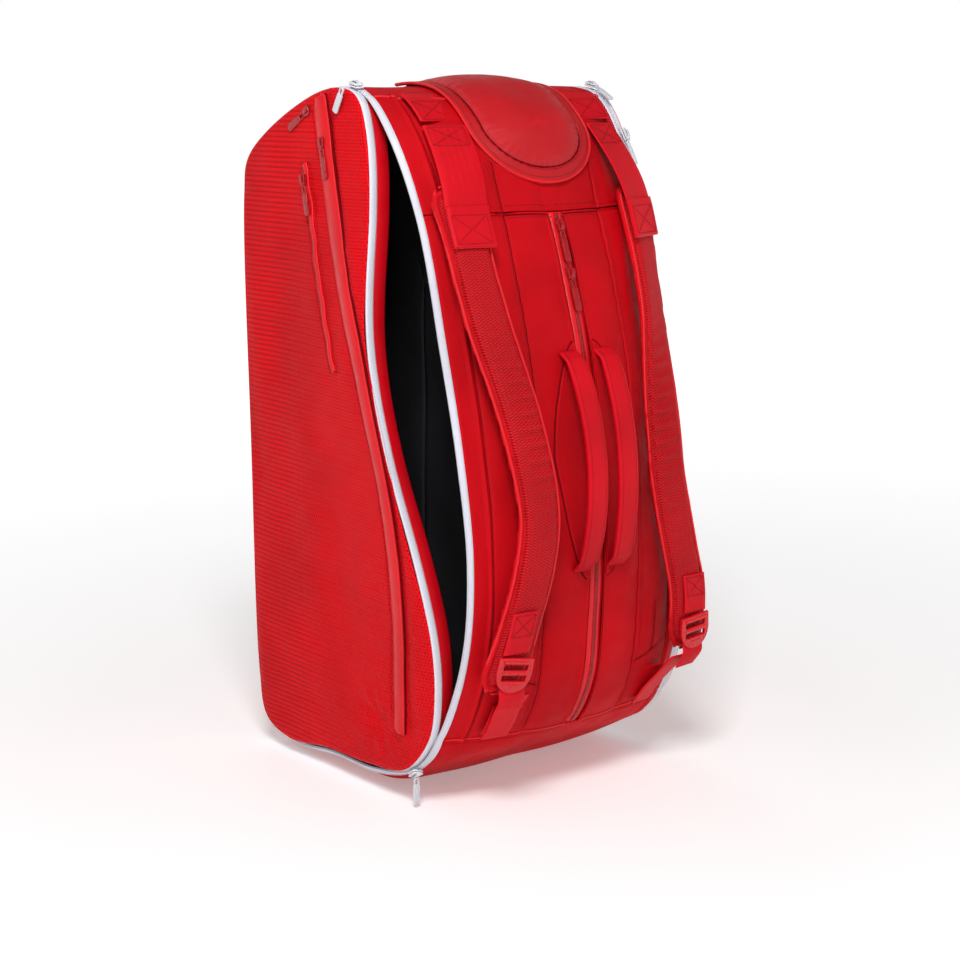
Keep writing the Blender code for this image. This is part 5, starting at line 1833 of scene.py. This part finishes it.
def make_stage():
    """Pale floor, and a sky that is white low down and dimmer overhead."""
    floor_mesh = bpy.data.meshes.new("floor")
    corners = [(x * FLOOR_REACH, y * FLOOR_REACH, 0) for x, y in ((-1, -1), (1, -1), (1, 1), (-1, 1))]
    floor_mesh.from_pydata(corners, [], [(0, 1, 2, 3)])
    floor = bpy.data.objects.new("floor", floor_mesh)
    pale = bpy.data.materials.new("floor")
    pale.use_nodes = True
    shader = pale.node_tree.nodes["Principled BSDF"]
    shader.inputs["Base Color"].default_value = (0.90, 0.90, 0.90, 1.0)
    shader.inputs["Roughness"].default_value = 0.9
    shader.inputs["Specular IOR Level"].default_value = 0.1
    shader.inputs["Emission Color"].default_value = (1.0, 1.0, 1.0, 1.0)
    floor_nodes, floor_links = pale.node_tree.nodes, pale.node_tree.links
    place = floor_nodes.new("ShaderNodeTexCoord")
    away = floor_nodes.new("ShaderNodeVectorMath")
    away.operation = "LENGTH"
    floor_links.new(place.outputs["Object"], away.inputs[0])
    glow = floor_nodes.new("ShaderNodeMapRange")
    floor_links.new(away.outputs["Value"], glow.inputs[0])
    for index, value in enumerate((0.5, 3.0, *FLOOR_GLOW), start=1):
        glow.inputs[index].default_value = value
    floor_links.new(glow.outputs[0], shader.inputs["Emission Strength"])
    floor_mesh.materials.append(pale)
    bpy.context.scene.collection.objects.link(floor)
    world = bpy.data.worlds.new("studio")
    world.use_nodes = True
    nodes, links = world.node_tree.nodes, world.node_tree.links
    direction = nodes.new("ShaderNodeTexCoord")
    split = nodes.new("ShaderNodeSeparateXYZ")
    links.new(direction.outputs["Generated"], split.inputs[0])
    fade = nodes.new("ShaderNodeMapRange")
    links.new(split.outputs[2], fade.inputs[0])
    for index, value in enumerate((0.10, 0.35, 1.0, OVERHEAD), start=1):
        fade.inputs[index].default_value = value
    links.new(fade.outputs[0], nodes["Background"].inputs[1])
    nodes["Background"].inputs[0].default_value = (1.0, 1.0, 1.0, 1.0)
    bpy.context.scene.world = world


def area_light(name, place, target, size, power):
    light = bpy.data.lights.new(name, "AREA")
    light.shape = "RECTANGLE"
    light.size, light.size_y = size
    light.energy = power
    item = bpy.data.objects.new(name, light)
    item.location = place
    item.rotation_euler = (Vector(target) - Vector(place)).to_track_quat("-Z", "Y").to_euler()
    bpy.context.scene.collection.objects.link(item)


CAMERA_TARGET = Vector((0.0, -0.020, 0.380))
CAMERA_AZIMUTH = math.radians(-38.555)
CAMERA_ELEVATION = math.radians(9.79)
CAMERA_DISTANCE = 2.2794
CAMERA_LENS = 75.58
CAMERA_SHIFT = (-0.0104, -0.0471)


def make_camera():
    back = Vector((math.sin(CAMERA_AZIMUTH) * math.cos(CAMERA_ELEVATION),
                   -math.cos(CAMERA_AZIMUTH) * math.cos(CAMERA_ELEVATION), math.sin(CAMERA_ELEVATION)))
    lens = bpy.data.cameras.new("camera")
    lens.lens = CAMERA_LENS
    lens.sensor_width = 36.0
    lens.shift_x, lens.shift_y = CAMERA_SHIFT
    lens.dof.use_dof = False
    camera = bpy.data.objects.new("camera", lens)
    camera.location = CAMERA_TARGET + back * CAMERA_DISTANCE
    camera.rotation_euler = (-back).to_track_quat("-Z", "Y").to_euler()
    bpy.context.scene.collection.objects.link(camera)
    bpy.context.scene.camera = camera


make_stage()
area_light("key", (-1.3, -1.5, 2.5), (0.0, -0.05, 0.40), (0.8, 0.8), 60.0)
area_light("fill", (1.8, -2.2, 1.2), (0.0, 0.0, 0.35), (1.6, 1.6), 1.0)
area_light("rim", (0.4, 1.8, 2.2), (0.0, 0.0, 0.5), (1.2, 1.2), 6.0)
make_camera()
bpy.context.scene.view_settings.view_transform = "Standard"
